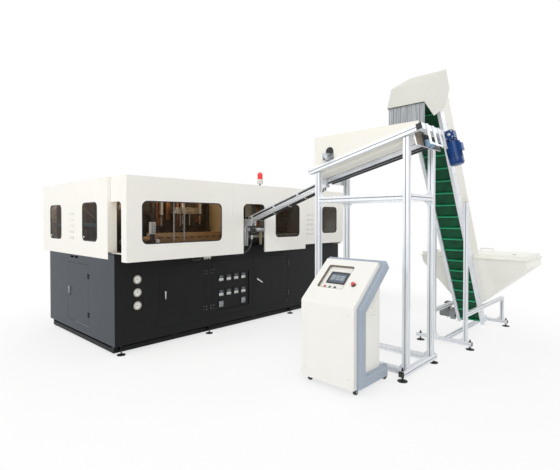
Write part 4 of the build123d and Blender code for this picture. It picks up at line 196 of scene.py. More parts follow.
surface("console_trim", (166, 177, 190), 0.42, (158, 169, 182), scale=3.0, shine=0.3)
surface("screen", (40, 42, 46), 0.3, bump=0.08)
surface("castor", (40, 41, 43), 0.5, bump=0.15)
surface("button_red", (206, 28, 24), 0.22, coat=0.5)
surface("button_green", (16, 130, 104), 0.22, coat=0.5)
surface("button_black", (24, 24, 26), 0.24, coat=0.5)

# Looks that only the pieces of this scene and a few nodes have
surface("gasket_rubber", (24, 24, 25), 0.55, bump=0.2)
surface("dial_face", (236, 238, 234), 0.4, scale=20.0)
brushed("brass_rim", (178, 168, 154), 0.3, (1, 1, 4))
surface("ink", (24, 24, 26), 0.5)
surface("keypad_white", (222, 224, 222), 0.35, bump=0.1)
surface("meter_face", (168, 172, 174), 0.3, (120, 124, 128), scale=24.0)
surface("display_dark", (58, 66, 74), 0.16, (40, 47, 54), scale=40.0, glow=0.05)
surface("screen_glass", (122, 136, 146), 0.12, (74, 86, 96), scale=8.0, glow=0.08)
surface("screen_bar", (60, 84, 108), 0.2, glow=0.05)
surface("screen_field", (150, 160, 166), 0.25, glow=0.1)
brushed("bolt_steel", (190, 192, 194), 0.3, (2, 2, 2))
surface("pipe_beige", (206, 192, 160), 0.4)
surface("copper_plate", (150, 104, 74), 0.34, (120, 80, 56), metal=0.7, scale=14.0)
surface("lamp_glow", (255, 220, 174), 0.3, glow=22.0)
surface("lamp_panel", (255, 228, 196), 0.4, glow=16.0)
surface("rim_paint", (252, 251, 247), 0.34, scale=8.0, bump=0.03)
surface("quartz_tube", (206, 190, 168), 0.2, bump=0.02)
surface("bearing_blue", (140, 176, 204), 0.4, bump=0.2, bump_scale=250.0)
surface("hinge_black", (30, 31, 32), 0.35, metal=0.4, bump=0.1)
surface("smoke_pane", (30, 28, 24), 0.05, alpha=0.5, ior=1.38, bump=0.005, rough_spread=0.02,
        bump_scale=20.0, shine=0.1)
# Copies of the cover sheet's paint: the hood's darker as painted shade, the hopper's paler as painted light
surface("hood_sheet_shaded", (213, 212, 203), 0.42, (208, 207, 198), **SHEET)
surface("hopper_sheet_lit", (248, 247, 239), 0.42, (243, 242, 234), **SHEET)
surface("kicker_cast", (206, 210, 215), 0.3, (52, 57, 64), metal=0.4, scale=30.0, bump=0.3, bump_scale=120.0)
surface("hose_rubber", (40, 43, 48), 0.28, (28, 30, 34), bump=0.1)
# Grey for the slots of the profiles: painted shade
surface("slot_shade_grey", (138, 144, 150), 0.45, bump=0.1)
surface("underside_shade", (150, 134, 108), 0.5, (60, 54, 48), scale=5.0)
# Brownish grey for the walls of the console's sunk panel: painted shade
surface("panel_recess_shade", (126, 116, 102), 0.5, bump=0.1)

# Slopes of the belt and of the sorter: the belt's cleats get a paler green as a painted highlight, and the
# rollers are painted dark where they face along the sorter's normal, as a painted reflection
BELT_SLOPE, SORTER_SLOPE = math.radians(30), math.radians(13.75)
BELT_FOOT = Vector((3.837, -2.6735, 0.240))
BELT_OUT = Vector((math.cos(BELT_SLOPE), 0, math.sin(BELT_SLOPE)))
BELT_UP = Vector((-math.sin(BELT_SLOPE), 0, math.cos(BELT_SLOPE)))
BELT_RADIUS, CLEAT_START, CLEAT_END = 0.0517, 0.006, 0.012
SLOPE_S = Vector((0, -math.cos(SORTER_SLOPE), math.sin(SORTER_SLOPE)))
SLOPE_N = Vector((0, math.sin(SORTER_SLOPE), math.cos(SORTER_SLOPE)))
# Rollers: dark where the surface faces along the sorter's normal, up or down, a painted reflection
paint_light_band("roller_steel", "NewGeometry", "Normal", SLOPE_N, 0.0, 0.5, 0.72, (26, 28, 30))
# Belt: paler green on the cleats, from 6 to 12 mm above the belt, a painted highlight
paint_light_band("belt_green", "TexCoord", "Object", BELT_OUT, BELT_OUT.dot(BELT_FOOT),
       BELT_RADIUS + CLEAT_START, BELT_RADIUS + CLEAT_END, (60, 176, 126))

OWN_LOOK = {
    "casing_hinges": "hinge_black",
    # The hood and the hopper take the shaded and the lit copy of the cover sheet's paint
    "discharge_hood": "hood_sheet_shaded",
    "hopper": "hopper_sheet_lit",
    "hopper_lid": "hopper_sheet_lit",
    "kicker_motor": "kicker_cast",
}
NODE_SLOT = {s["node"]: s["material_slot"] for s in frame["record"]["subparts"]}
for node_name, node_object in frame["nodes"].items():
    node_object.data.materials.clear()
    node_object.data.materials.append(MATS[OWN_LOOK.get(node_name, NODE_SLOT[node_name])])


# Mesh helpers: each adds closed forms to a bmesh, in the row frame
def moved(x, y, z):
    """Matrix that shifts by that much."""
    return Matrix.Translation((x, y, z))


def turned(degrees):
    """Matrix that turns about z."""
    return Matrix.Rotation(math.radians(degrees), 4, "Z")


def circle(radius, count, first=0.0):
    """Places spread evenly on a circle, from an angle in degrees on."""
    angles = [math.radians(first) + 2 * math.pi * i / count for i in range(count)]
    return [(radius * math.cos(a), radius * math.sin(a)) for a in angles]


def frame_at(origin, out, up=(0, 0, 1)):
    """Matrix of a face frame: x to the side, y up, z out of the face."""
    z = Vector(out).normalized()
    x = Vector(up).cross(z).normalized()
    y = z.cross(x)
    return Matrix.Translation(Vector(origin)) @ Matrix((
        (x.x, y.x, z.x, 0), (x.y, y.y, z.y, 0), (x.z, y.z, z.z, 0), (0, 0, 0, 1)))


def add_box(bm, low, high, bevel=0.0015, turn=None):
    """A block with softened edges; turn places it from its own frame."""
    made = bmesh.ops.create_cube(bm, size=1.0)
    low, high = Vector(low), Vector(high)
    size, middle = high - low, (high + low) / 2
    for v in made["verts"]:
        v.co = Vector((v.co.x * size.x, v.co.y * size.y, v.co.z * size.z)) + middle
    edges = list({e for v in made["verts"] for e in v.link_edges})
    faces = list({f for v in made["verts"] for f in v.link_faces})
    if bevel:
        width = min(bevel, min(abs(s) for s in size) * 0.4)
        out = bmesh.ops.bevel(bm, geom=edges, offset=width, segments=2, profile=0.5, affect="EDGES")
        faces = list(set(out["faces"]) | {f for f in faces if f.is_valid})
    if turn is not None:
        verts = list({v for f in faces for v in f.verts})
        bmesh.ops.transform(bm, matrix=turn, verts=verts)


def bridge(bm, loops):
    """Walls between neighbouring loops of points; a loop of one point is a tip."""
    for a, b in zip(loops, loops[1:]):
        count = max(len(a), len(b))
        for i in range(count):
            j = (i + 1) % count
            corners = dict.fromkeys((a[i % len(a)], a[j % len(a)], b[j % len(b)], b[i % len(b)]))
            if len(corners) > 2:
                bm.faces.new(list(corners))


def add_lathe(bm, profile, turn, segments=32):
    """A turned form: (radius, height) points about the frame's z."""
    rings = []
    for radius, height in profile:
        points = circle(radius, segments) if radius else [(0, 0)]
        rings.append([bm.verts.new(turn @ Vector((x, y, height))) for x, y in points])
    bridge(bm, rings)


def add_rod(bm, start, end, radius, segments=16):
    """A round bar with softened ends."""
    start, end = Vector(start), Vector(end)
    run = end - start
    up = (0, 0, 1) if abs(run.normalized().z) < 0.9 else (1, 0, 0)
    soft = min(0.001, radius * 0.4, run.length * 0.3)
    add_lathe(bm, [(0, 0), (radius - soft, 0), (radius, soft), (radius, run.length - soft),
                   (radius - soft, run.length), (0, run.length)], frame_at(start, run, up), segments)


def add_screws(bm, places, out, radius, height, up=(0, 0, 1)):
    """Low socket heads: bevelled discs, each with a sunk hole."""
    for place in places:
        add_lathe(bm, [(0, -0.0005), (radius, -0.0005), (radius, height * 0.7), (radius * 0.85, height),
                       (radius * 0.5, height), (radius * 0.45, height * 0.4), (0, height * 0.4)],
                  frame_at(place, out, up), 12)


def add_hexes(bm, places, out, radius, height, up=(0, 0, 1)):
    """Hexagon nuts or bolt heads."""
    for place in places:
        add_lathe(bm, [(0, 0), (radius, 0), (radius, height * 0.8), (radius * 0.86, height), (0, height)],
                  frame_at(place, out, up), 6)


def add_slot_shade(bm, start, end, size, across=(1, 0, 0), sides=(0, 1, 2, 3)):
    """Grey strips sunk in the slots of a square profile between two points, as painted shade in the slots."""
    start, end = Vector(start), Vector(end)
    turn = frame_at(start, end - start, across)
    half, face, length = size * 0.0905, size / 2, (end - start).length
    for side in sides:
        add_box(bm, (-half, face - 0.0042, 0.002), (half, face - 0.0022, length - 0.002), 0,
                turn @ turned(90 * side))


def add_tube(bm, points, radius, rib, pitch, segments=16):
    """A ribbed hose along a smooth line through its points."""
    points = [Vector(p) for p in points]
    ends = [2 * points[0] - points[1]] + points + [2 * points[-1] - points[-2]]
    path = []
    for a, b, c, d in zip(ends, ends[1:], ends[2:], ends[3:]):
        count = max(2, round((c - b).length / pitch))
        for i in range(count):
            t = i / count
            square, cube = 2 * a - 5 * b + 4 * c - d, 3 * b - a - 3 * c + d
            path.append(0.5 * (2 * b + (c - a) * t + square * t * t + cube * t ** 3))
    path.append(points[-1])
    rings = []
    for i, place in enumerate(path):
        run = path[min(i + 1, len(path) - 1)] - path[max(i - 1, 0)]
        turn = frame_at(place, run, (0, 1, 0.2))
        size = radius - (rib if i % 2 else 0)
        rings.append([bm.verts.new(turn @ Vector((x, y, 0))) for x, y in circle(size, segments)])
    bridge(bm, rings)
    bm.faces.new(list(reversed(rings[0])))
    bm.faces.new(rings[-1])


def outline_loops(bm, width, height, radius, section, turn, least, steps=8):
    """Rounded rectangles about a centre, one for each (inset, out) of a section."""
    loops = []
    for inset, out in section:
        half_x, half_y, corner = width / 2 - inset, height / 2 - inset, max(least, radius - inset)
        points = []
        for cx, cy, first in ((1, 1, 0), (-1, 1, 90), (-1, -1, 180), (1, -1, 270)):
            for i in range(steps + 1):
                angle = math.radians(first + 90 * i / steps)
                points.append((cx * (half_x - corner) + corner * math.cos(angle),
                               cy * (half_y - corner) + corner * math.sin(angle)))
        loops.append([bm.verts.new(turn @ Vector((x, y, out))) for x, y in points])
    return loops


def add_ring(bm, width, height, radius, section, turn):
    """A rounded rectangular ring: section lists (inset, out) round its bar."""
    loops = outline_loops(bm, width, height, radius, section, turn, 0.001)
    bridge(bm, loops + loops[:1])


def add_pad(bm, width, height, radius, low, high, turn, soft=0.0):
    """A rounded rectangular plate between two heights."""
    levels = [(0, low), (0, high)]
    if soft:
        levels = [(0, low), (0, high - soft), (soft * 0.4, high - soft * 0.3), (soft, high)]
    loops = outline_loops(bm, width, height, radius, levels, turn, 0.0005)
    bridge(bm, loops)
    bm.faces.new(list(reversed(loops[0])))
    bm.faces.new(loops[-1])


def piece(name, bm, slot, look=None, body="line", smooth=True):
    """Turns a bmesh into a named piece that rides on a body; its look is the slot's own or another."""
    bmesh.ops.recalc_face_normals(bm, faces=bm.faces)
    mesh = bpy.data.meshes.new(name)
    bm.to_mesh(mesh)
    bm.free()
    mesh.materials.append(MATS[look or slot])
    obj = shown(name, mesh)
    if smooth:
        for polygon in mesh.polygons:
            polygon.use_smooth = True
        mesh.set_sharp_from_angle(angle=math.radians(38))
    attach(obj, body)
    return obj


def meshes(count):
    """That many empty meshes."""
    return [bmesh.new() for _ in range(count)]


# Motor cable between the control box and the belt motor
CABLE_POINTS = [
    (3.670, -2.421, 0.340),
    (3.670, -2.421, 0.276),
    (3.680, -2.415, 0.226),
    (3.706, -2.399, 0.192),
    (3.736, -2.380, 0.192),
    (3.751, -2.367, 0.221),
    (3.757, -2.359, 0.252),
    (3.772, -2.355, 0.282),
    (3.803, -2.355, 0.300),
]
CABLE_DIAMETER = 0.006

curve = bpy.data.curves.new("motor_lead", "CURVE")
curve.dimensions = "3D"
spline = curve.splines.new("NURBS")
spline.points.add(len(CABLE_POINTS) - 1)
for point, place in zip(spline.points, CABLE_POINTS):
    point.co = (*place, 1.0)
spline.order_u = 3
spline.use_endpoint_u = True
spline.resolution_u = 12
curve.bevel_depth = CABLE_DIAMETER / 2
curve.bevel_resolution = 4
curve.use_fill_caps = True
curve.materials.append(MATS["cable_grey"])
motor_lead = shown("motor_lead", curve)
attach(motor_lead, "line")
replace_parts(motor_lead, "motor_cable")

# Guard windows: rubber surround with a rounded lip, then the tinted pane
FRONT, END, REAR = (0, -1, 0), (-1, 0, 0), (0, 1, 0)
FRONT_PANE, END_PANE, REAR_PANE = -0.2875, -0.1045, 2.3485
WINDOWS = {
    "front": ((0.698, FRONT_PANE, 1.5665), FRONT, 1.166, 0.507),
    "feed": ((2.6115, FRONT_PANE, 1.5815), FRONT, 0.565, 0.515),
    "right": ((3.794, -0.2285, 1.593), FRONT, 0.434, 0.470),
    "end_front": ((END_PANE, 0.6235, 1.572), END, 0.459, 0.492),
    "end_back": ((END_PANE, 1.813, 1.566), END, 0.454, 0.488),
    "rear_left": ((0.997, REAR_PANE, 1.566), REAR, 1.0, 0.5),
    "rear_right": ((3.147, REAR_PANE, 1.566), REAR, 1.0, 0.5),
}
WINDOW_RADIUS = 0.070
LIP, PANE_HALF = 0.0138, 0.0025
GASKET_SECTION = [(0.0002, -0.0055), (0.0002, 0.003), (0.0022, 0.0055), (0.0115, 0.0055), (LIP, 0.003),
                  (LIP, -0.0055)]
surrounds = {}
for key, (middle, out, width, height) in WINDOWS.items():
    body = "guard_door" if key == "front" else "line"
    turn = frame_at(middle, out)
    bm, pane = meshes(2)
    add_ring(bm, width, height, WINDOW_RADIUS, GASKET_SECTION, turn)
    surrounds[key] = piece("window_surround_" + key, bm, "window", "gasket_rubber", body)
    add_pad(pane, width - 2 * LIP, height - 2 * LIP, WINDOW_RADIUS - LIP, -PANE_HALF, PANE_HALF, turn)
    piece("window_pane_" + key, pane, "window", "smoke_pane" if out == END else None, body, smooth=False)
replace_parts(surrounds["front"], "guard_door_window")
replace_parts(surrounds["feed"], "guard_windows")


# Pressure gauges: brass rims, pale dials with graduations and a needle
GAUGE_RADIUS, GAUGE_X, GAUGE_Y = 0.053, 0.175, -0.062
GAUGE_LEVELS = (0.569, 0.725, 0.881)
NEEDLE_ANGLES = (-70, 15, -40)
DIAL_EDGE = GAUGE_RADIUS - 0.0135
GRADUATIONS, SCALE_ANGLE = 28, 270


def gauge(name, level, angle):
    """Rim, dial, marks and needle of one gauge."""
    turn = frame_at((GAUGE_X, GAUGE_Y, level), FRONT)
    rim, dial, marks = meshes(3)
    add_lathe(rim, [(DIAL_EDGE, 0.0002), (GAUGE_RADIUS - 0.012, 0.003), (GAUGE_RADIUS - 0.006, 0.0042),
                    (GAUGE_RADIUS - 0.001, 0.003), (GAUGE_RADIUS - 0.0004, 0.0002)], turn, 48)
    piece(name + "_rim", rim, "bezel", "brass_rim")
    add_lathe(dial, [(0, 0.0004), (DIAL_EDGE, 0.0004), (DIAL_EDGE - 0.0002, 0.001), (0, 0.001)], turn, 48)
    piece(name + "_dial", dial, "bezel", "dial_face")
    for i in range(GRADUATIONS):
        inner, half = (0.58, 0.0005) if i % 3 else (0.52, 0.0009)
        tick = turn @ turned(SCALE_ANGLE / 2 - SCALE_ANGLE * i / (GRADUATIONS - 1))
        add_box(marks, (-half, GAUGE_RADIUS * inner, 0.001), (half, GAUGE_RADIUS * 0.66, 0.0014), 0, tick)
    add_box(marks, (-0.0011, -0.010, 0.0016), (0.0011, GAUGE_RADIUS * 0.56, 0.0022), 0, turn @ turned(-angle))
    add_lathe(marks, [(0, 0.001), (0.005, 0.001), (0.005, 0.0026), (0, 0.0028)], turn, 20)
    piece(name + "_marks", marks, "bezel", "ink", smooth=False)


for i, (level, angle) in enumerate(zip(GAUGE_LEVELS, NEEDLE_ANGLES)):
    gauge("gauge_%d" % i, level, angle)
bm = bmesh.new()
for level in GAUGE_LEVELS:
    add_screws(bm, [(GAUGE_X + x, GAUGE_Y - 0.0002, level + z) for x, z in circle(0.0492, 3, 90)], FRONT,
               0.0028, 0.0016)
piece("gauge_screws", bm, "zinc_steel", "bolt_steel")

# Temperature controllers: case rim, display, keypad with keys; two meters with needles
COLUMNS = [1.461 + 0.140 * i for i in range(4)]
CONTROLLER_LEVELS, METER_LEVEL = (0.764, 0.552), 0.394
FACE_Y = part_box("temperature_controllers")[0][1]
CASE, CASE_RADIUS, CASE_PROUD = 0.0918, 0.006, 0.0002


def case_face(rims, x, z, rise):
    """Face frame of one case, with its rim added to a mesh."""
    turn = frame_at((x, FACE_Y, z), FRONT)
    section = [(0, 0), (0, rise), (0.0015, rise + 0.0014), (0.005, rise + 0.0014), (0.007, CASE_PROUD)]
    add_ring(rims, CASE, CASE, CASE_RADIUS, section, turn)
    return turn


rims, displays, keypads, keys, digits = meshes(5)
for z, x in product(CONTROLLER_LEVELS, COLUMNS):
    turn = case_face(rims, x, z, 0.002)
    add_pad(displays, 0.070, 0.034, 0.003, CASE_PROUD, 0.0012, turn @ moved(0, 0.0185, 0))
    add_pad(keypads, 0.076, 0.036, 0.003, CASE_PROUD, 0.0014, turn @ moved(0, -0.0215, 0))
    for i in range(4):
        place = turn @ moved(-0.027 + 0.018 * i, -0.029, 0)
        add_pad(keys, 0.012, 0.008, 0.002, 0.0014, 0.0026, place, 0.0006)
    for (row, size), i in product(((0.0255, 0.0042), (0.0125, 0.0032)), range(4)):
        left = -0.020 + i * 0.013
        add_box(digits, (left, row - size, 0.0012), (left + 0.0055, row + size, 0.0015), 0, turn)
piece("controller_rims", rims, "bezel", None, "heater_panel")
piece("controller_displays", displays, "bezel", "display_dark", "heater_panel")
piece("controller_keypads", keypads, "bezel", "keypad_white", "heater_panel")
piece("controller_keys", keys, "bezel", "ink", "heater_panel")
piece("controller_digits", digits, "bezel", "screen_field", "heater_panel", smooth=False)
rims, dials, marks = meshes(3)
for x in (COLUMNS[0], COLUMNS[-1]):
    turn = case_face(rims, x, METER_LEVEL, 0.003)
    add_pad(dials, 0.078, 0.078, 0.003, CASE_PROUD, 0.0012, turn)
    pivot = turn @ moved(0.026, -0.026, 0)
    for i in range(13):
        add_box(marks, (-0.0006, 0.044, 0.0012), (0.0006, 0.052 if i % 3 else 0.055, 0.0016), 0,
                pivot @ turned(7.5 * i))
    add_box(marks, (-0.0008, -0.004, 0.0018), (0.0008, 0.048, 0.0024), 0, pivot @ turned(62))
    add_lathe(marks, [(0, 0.001), (0.006, 0.001), (0.006, 0.003), (0, 0.0034)], pivot, 20)
piece("meter_rims", rims, "bezel", None, "heater_panel")
piece("meter_dials", dials, "bezel", "meter_face", "heater_panel")
piece("meter_marks", marks, "bezel", "ink", "heater_panel", smooth=False)

# Screws of the front hinges: (hinge middle, width of the leaf to its side)
HINGE_LEAVES = ((1.1785, -0.034), (1.1785, 0.026), (1.2955, 0.034), (1.2955, -0.026), (2.8665, -0.034),
                (2.8665, 0.026))
bm = bmesh.new()
for (x, width), z, dz in product(HINGE_LEAVES, (0.380, 0.875), (-0.022, 0.022)):
    add_screws(bm, [(x + width * 0.72, -0.0525, z + dz)], FRONT, 0.0042, 0.0022)
piece("hinge_screws_front", bm, "zinc_steel", "brass_rim")

# Beacon: dark stem, grooved collar, ribbed red lens
STEM_LOW, STEM_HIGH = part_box("beacon_base")
beacon = moved((STEM_LOW[0] + STEM_HIGH[0]) / 2, (STEM_LOW[1] + STEM_HIGH[1]) / 2, STEM_LOW[2])
LENS_FOOT, LENS_RADIUS, LENS_RIBS, LENS_DOME = STEM_HIGH[2] - STEM_LOW[2], 0.0465, 10, 0.073
stem, collar, lens = meshes(3)
add_lathe(stem, [(0, 0), (0.0264, 0), (0.0264, 0.005), (0.024, 0.008), (0.013, 0.009), (0.012, 0.012),
                 (0.012, 0.084), (0, 0.084)], beacon, 32)
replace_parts(piece("beacon_stem", stem, "beacon_grey", "ink"), "beacon_base")
add_lathe(collar, [(0, 0.083), (0.040, 0.083), (0.0485, 0.088), (0.0495, 0.094), (0.0495, 0.118),
                   (0.0475, 0.120), (0.0475, 0.124), (0.0495, 0.126), (0.0495, 0.154), (0.048, LENS_FOOT),
                   (0, LENS_FOOT)], beacon, 48)
piece("beacon_collar", collar, "beacon_grey")
profile = [(0, 0), (LENS_RADIUS, 0.0)]
for i in range(LENS_RIBS):
    z = 0.003 + i * 0.0068
    profile += [(LENS_RADIUS, z), (LENS_RADIUS - 0.0017, z + 0.0034)]
profile += [(x, LENS_DOME + z) for x, z in circle(LENS_RADIUS, 40)[:10]] + [(0, LENS_DOME + LENS_RADIUS)]
add_lathe(lens, profile, beacon @ moved(0, 0, LENS_FOOT), 48)
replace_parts(piece("beacon_lens", lens, "beacon_red"), "beacon_dome")

# Strips behind the lower and upper gaps of the front doors
bm = bmesh.new()
for (x0, x1), z in product(((0.470, 1.190), (1.285, 2.079), (2.081, 2.878)), (0.2215, 1.0115)):
    add_box(bm, (x0, -0.0285, z), (x1, -0.0255, z + 0.022), 0.0005)
piece("door_strips", bm, "base_paint")

# Console: operator screen, button rings and caps, emergency stop
CONSOLE_LOW, CONSOLE_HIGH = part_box("console_body")
LEAN = math.radians(41.0)
PANEL_OUT = Vector((-math.sin(LEAN), 0, math.cos(LEAN)))
PANEL_UP = Vector((math.cos(LEAN), 0, math.sin(LEAN)))
PANEL_FOOT = 0.820
PANEL_CORNER = Vector((CONSOLE_LOW[0], (CONSOLE_LOW[1] + CONSOLE_HIGH[1]) / 2, PANEL_FOOT))
PANEL_SINK = -0.028
GLASS = -0.0016


def on_panel(side, along, lift=PANEL_SINK):
    """Face frame on the console slope: side runs to the near side, along runs up."""
    origin = PANEL_CORNER + Vector((0, -side, 0)) + PANEL_UP * along + PANEL_OUT * lift
    return frame_at(origin, PANEL_OUT, PANEL_UP)


turn = on_panel(-0.056, 0.335, PANEL_SINK + 0.007)
bezel, glass, bars, fields = meshes(4)
add_ring(bezel, 0.216, 0.150, 0.006, [(0.0002, -0.0068), (0.0002, 0.0005), (0.0025, 0.003), (0.018, 0.003),
                                      (0.0215, -0.001), (0.0215, -0.0068)], turn)
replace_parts(piece("screen_bezel", bezel, "screen"), "console_screen")
add_pad(glass, 0.174, 0.108, 0.002, -0.0060, GLASS, turn)
piece("screen_glass", glass, "screen", "screen_glass", smooth=False)
add_pad(bars, 0.168, 0.014, 0.001, GLASS, -0.0012, turn @ moved(0, 0.044, 0))
for i in range(5):
    add_pad(bars, 0.028, 0.014, 0.001, GLASS, -0.0011, turn @ moved(-0.066 + 0.033 * i, -0.043, 0))
piece("screen_bars", bars, "screen", "screen_bar", smooth=False)
for row, column in product(range(3), range(3)):
    place = turn @ moved(-0.052 + 0.052 * column, 0.022 - 0.020 * row, 0)
    add_pad(fields, 0.042, 0.012, 0.001, GLASS, -0.0012, place)
piece("screen_fields", fields, "screen", "screen_field", smooth=False)

BUTTON_ALONG = 0.214
BUTTONS = {
    "stop_button": (-0.150, "button_stop", "button_red"),
    "start_button": (-0.092, "button_start", "button_green"),
    "mode_button": (-0.030, "button_mode", "button_black"),
}
RING_SECTION = [(0, 0), (0, 0.0022), (0.0014, 0.0034), (0.0036, 0.0034), (0.0046, 0.0024), (0.0046, 0)]
CAP_PROFILE = [(0, -0.0078), (0.0118, -0.0078), (0.0118, 0.0058), (0.0108, 0.0076), (0.0090, 0.0078),
               (0.0070, 0.0070), (0, 0.0066)]
bm = bmesh.new()
for side, _, _ in BUTTONS.values():
    add_ring(bm, 0.034, 0.034, 0.017, RING_SECTION, on_panel(side, BUTTON_ALONG))
piece("button_rings", bm, "screen", "motor_silver")
for key, (side, body, slot) in BUTTONS.items():
    bm = bmesh.new()
    add_lathe(bm, CAP_PROFILE, on_panel(side, BUTTON_ALONG), 32)
    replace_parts(piece(key + "_cap", bm, slot, None, body), key)
turn = on_panel(0.178, 0.252, 0.0)
collar, cap = meshes(2)
add_lathe(collar, [(0.0095, 0.0), (0.024, 0.0), (0.024, 0.002), (0.0215, 0.0052), (0.0150, 0.0072),
                   (0.0095, 0.0072)], turn, 36)
piece("stop_collar", collar, "screen", "button_black")
add_lathe(cap, [(0, -0.0138), (0.0088, -0.0138), (0.0088, 0.0135), (0.0150, 0.0142), (0.0192, 0.0160),
                (0.0199, 0.0200), (0.0192, 0.0245), (0.0160, 0.0276), (0.0090, 0.0288), (0, 0.0290)],
          turn, 40)
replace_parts(piece("stop_cap", cap, "button_red", None, "stop_head"), "emergency_stop")

# Pull bar of the front guard door: rubber sleeve and the latch beside it
sleeve, latch = meshes(2)
add_box(sleeve, (0.8155, -0.2822, 1.0725), (0.9485, -0.2698, 1.0852), 0.002)
for x in (0.8155, 0.9357):
    add_box(sleeve, (x, -0.2822, 1.0725), (x + 0.0128, -0.2698, 1.1135), 0.002)
piece("pull_sleeve", sleeve, "guard_paint", "control_black", "guard_door")
add_box(latch, (0.985, -0.2860, 1.0900), (1.100, -0.2720, 1.1145), 0.002)
for x in (1.002, 1.042, 1.082):
    add_rod(latch, (x, -0.2790, 1.0760), (x, -0.2790, 1.0905), 0.007)
piece("door_latch", latch, "guard_paint", "mould_steel", "guard_door")

# Working parts seen through the front window: collars on the track and clamp fittings
TRACK_LOW, TRACK_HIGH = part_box("preform_track")
CLAMP_LOW, CLAMP_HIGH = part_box("clamp_frame")
HOLDER_PITCH, HOLDERS = 0.0762, 14
FIRST_HOLDER = (TRACK_LOW[0] + TRACK_HIGH[0] - (HOLDERS - 1) * HOLDER_PITCH) / 2
COLLAR_PROFILE = [(0.0152, 0), (0.0205, 0), (0.0215, 0.002), (0.0215, 0.007), (0.0205, 0.009),
                  (0.0152, 0.009)]
HOLDER_Y, COLLAR_LEVELS = 0.160, (1.392, 1.408)
CLAMP_PLATES, TIE_BAR_Y, TIE_BAR_Z = ((0.327, -1), (1.827, 1)), (0.645, 1.115), (1.300, 1.765)
PLATEN_FACES, PLATEN_SCREW_Y, PLATEN_SCREW_Z = ((0.957, 1), (1.197, -1)), (0.600, 1.160), (1.26, 1.80)
bm = bmesh.new()
for i, z in product(range(HOLDERS), COLLAR_LEVELS):
    add_lathe(bm, COLLAR_PROFILE, moved(FIRST_HOLDER + i * HOLDER_PITCH, HOLDER_Y, z), 20)
piece("holder_collars", bm, "zinc_steel", "rim_paint")
bm = bmesh.new()
for x, out in ((CLAMP_LOW[0], -1), (CLAMP_HIGH[0], 1)):
    places = [(x - out * 0.0002, 0.880 + y, 1.520 + z) for y, z in circle(0.052, 6)]
    add_hexes(bm, places, (out, 0, 0), 0.011, 0.008)
for x, out in CLAMP_PLATES:
    add_hexes(bm, product((x,), TIE_BAR_Y, TIE_BAR_Z), (out, 0, 0), 0.040, 0.026)
for x, out in PLATEN_FACES:
    add_screws(bm, product((x,), PLATEN_SCREW_Y, PLATEN_SCREW_Z), (out, 0, 0), 0.010, 0.006)
piece("clamp_bolts", bm, "zinc_steel", "bolt_steel")

# Bright pressed rims round the guard windows, and the knobs of the end windows
RIM = 0.014
RIM_SECTION = [(0, 0), (0, 0.0008), (0.003, 0.0026), (RIM - 0.002, 0.0026), (RIM - 0.0002, 0.0012),
               (RIM - 0.0002, 0)]
rims, door_rim, knobs = meshes(3)
for key, (middle, out, width, height) in WINDOWS.items():
    add_ring(door_rim if key == "front" else rims, width + 2 * RIM, height + 2 * RIM, WINDOW_RADIUS + RIM,
             RIM_SECTION, frame_at(Vector(middle) + Vector(out) * 0.0015, out))
    if out == END:
        place = (middle[0] - 0.0024, middle[1] + width / 2 - 0.055, middle[2] - height / 2 + 0.05)
        add_lathe(knobs, [(0, 0), (0.013, 0), (0.013, 0.004), (0.008, 0.010), (0, 0.011)],
                  frame_at(place, out), 24)
piece("window_rims_fixed", rims, "guard_paint", "rim_paint")
piece("window_rim_door", door_rim, "guard_paint", "rim_paint", "guard_door")
piece("window_knobs", knobs, "guard_paint", "keypad_white")

# Working parts behind the front window: dark portal, copper coloured plates, cylinders and rods
DECK, UNDER_ROOF = 1.202, 2.040
CYLINDER_Y, ROD_Y, ROD_FOOT, CLAMP_RING = 0.354, -0.100, 1.214, 0.022
portal, plates, cylinders, chrome = meshes(4)
for x in (0.245, 0.600, 1.500):
    add_box(portal, (x, 0.360, 1.200), (x + 0.055, 0.415, UNDER_ROOF), 0.003)
add_box(portal, (0.245, 0.355, 1.925), (1.555, 0.420, 1.985), 0.003)
add_box(portal, (0.300, 0.370, 1.660), (0.600, 0.405, 1.920), 0.003)
for x0, x1, y, z in ((0.690, 0.800, 0.392, 1.520), (0.840, 0.900, 0.382, 1.600), (1.020, 1.150, 0.392, 1.500),
                     (1.330, 1.430, 0.392, 1.560)):
    add_box(plates, (x0, y, z), (x1, y + 0.012, 1.925), 0.002)
for x, radius, foot, top in ((0.745, 0.026, 1.640, 1.900), (1.085, 0.030, 1.660, 1.900),
                             (1.380, 0.024, 1.660, 1.880)):
    add_rod(cylinders, (x, CYLINDER_Y, foot), (x, CYLINDER_Y, top), radius, 28)
    add_rod(chrome, (x, CYLINDER_Y, foot - 0.130), (x, CYLINDER_Y, foot), radius * 0.35, 20)
    for z in (foot, top - CLAMP_RING):
        add_box(portal, (x - radius - 0.004, 0.322, z), (x + radius + 0.004, 0.392, z + CLAMP_RING), 0.002)
for x in (0.655, 0.810):
    add_rod(chrome, (x, ROD_Y, ROD_FOOT), (x, ROD_Y, UNDER_ROOF), 0.010, 24)
    for z in (ROD_FOOT, 1.990):
        add_lathe(chrome, [(0.0105, 0), (0.019, 0), (0.019, 0.024), (0.0105, 0.024)], moved(x, ROD_Y, z), 24)
# Thin black sheets behind the portal: painted shade, a dark backdrop for the interior
for x0, x1 in ((0.250, 1.020), (1.170, 1.550)):
    add_box(portal, (x0, 0.424, 1.300), (x1, 0.428, 1.985), 0.001)
piece("portal_frame", portal, "clamp_grey", "control_black")
piece("portal_plates", plates, "clamp_grey", "copper_plate")
piece("portal_cylinders", cylinders, "zinc_steel", "motor_silver")
piece("chrome_rods", chrome, "zinc_steel", "mould_steel")

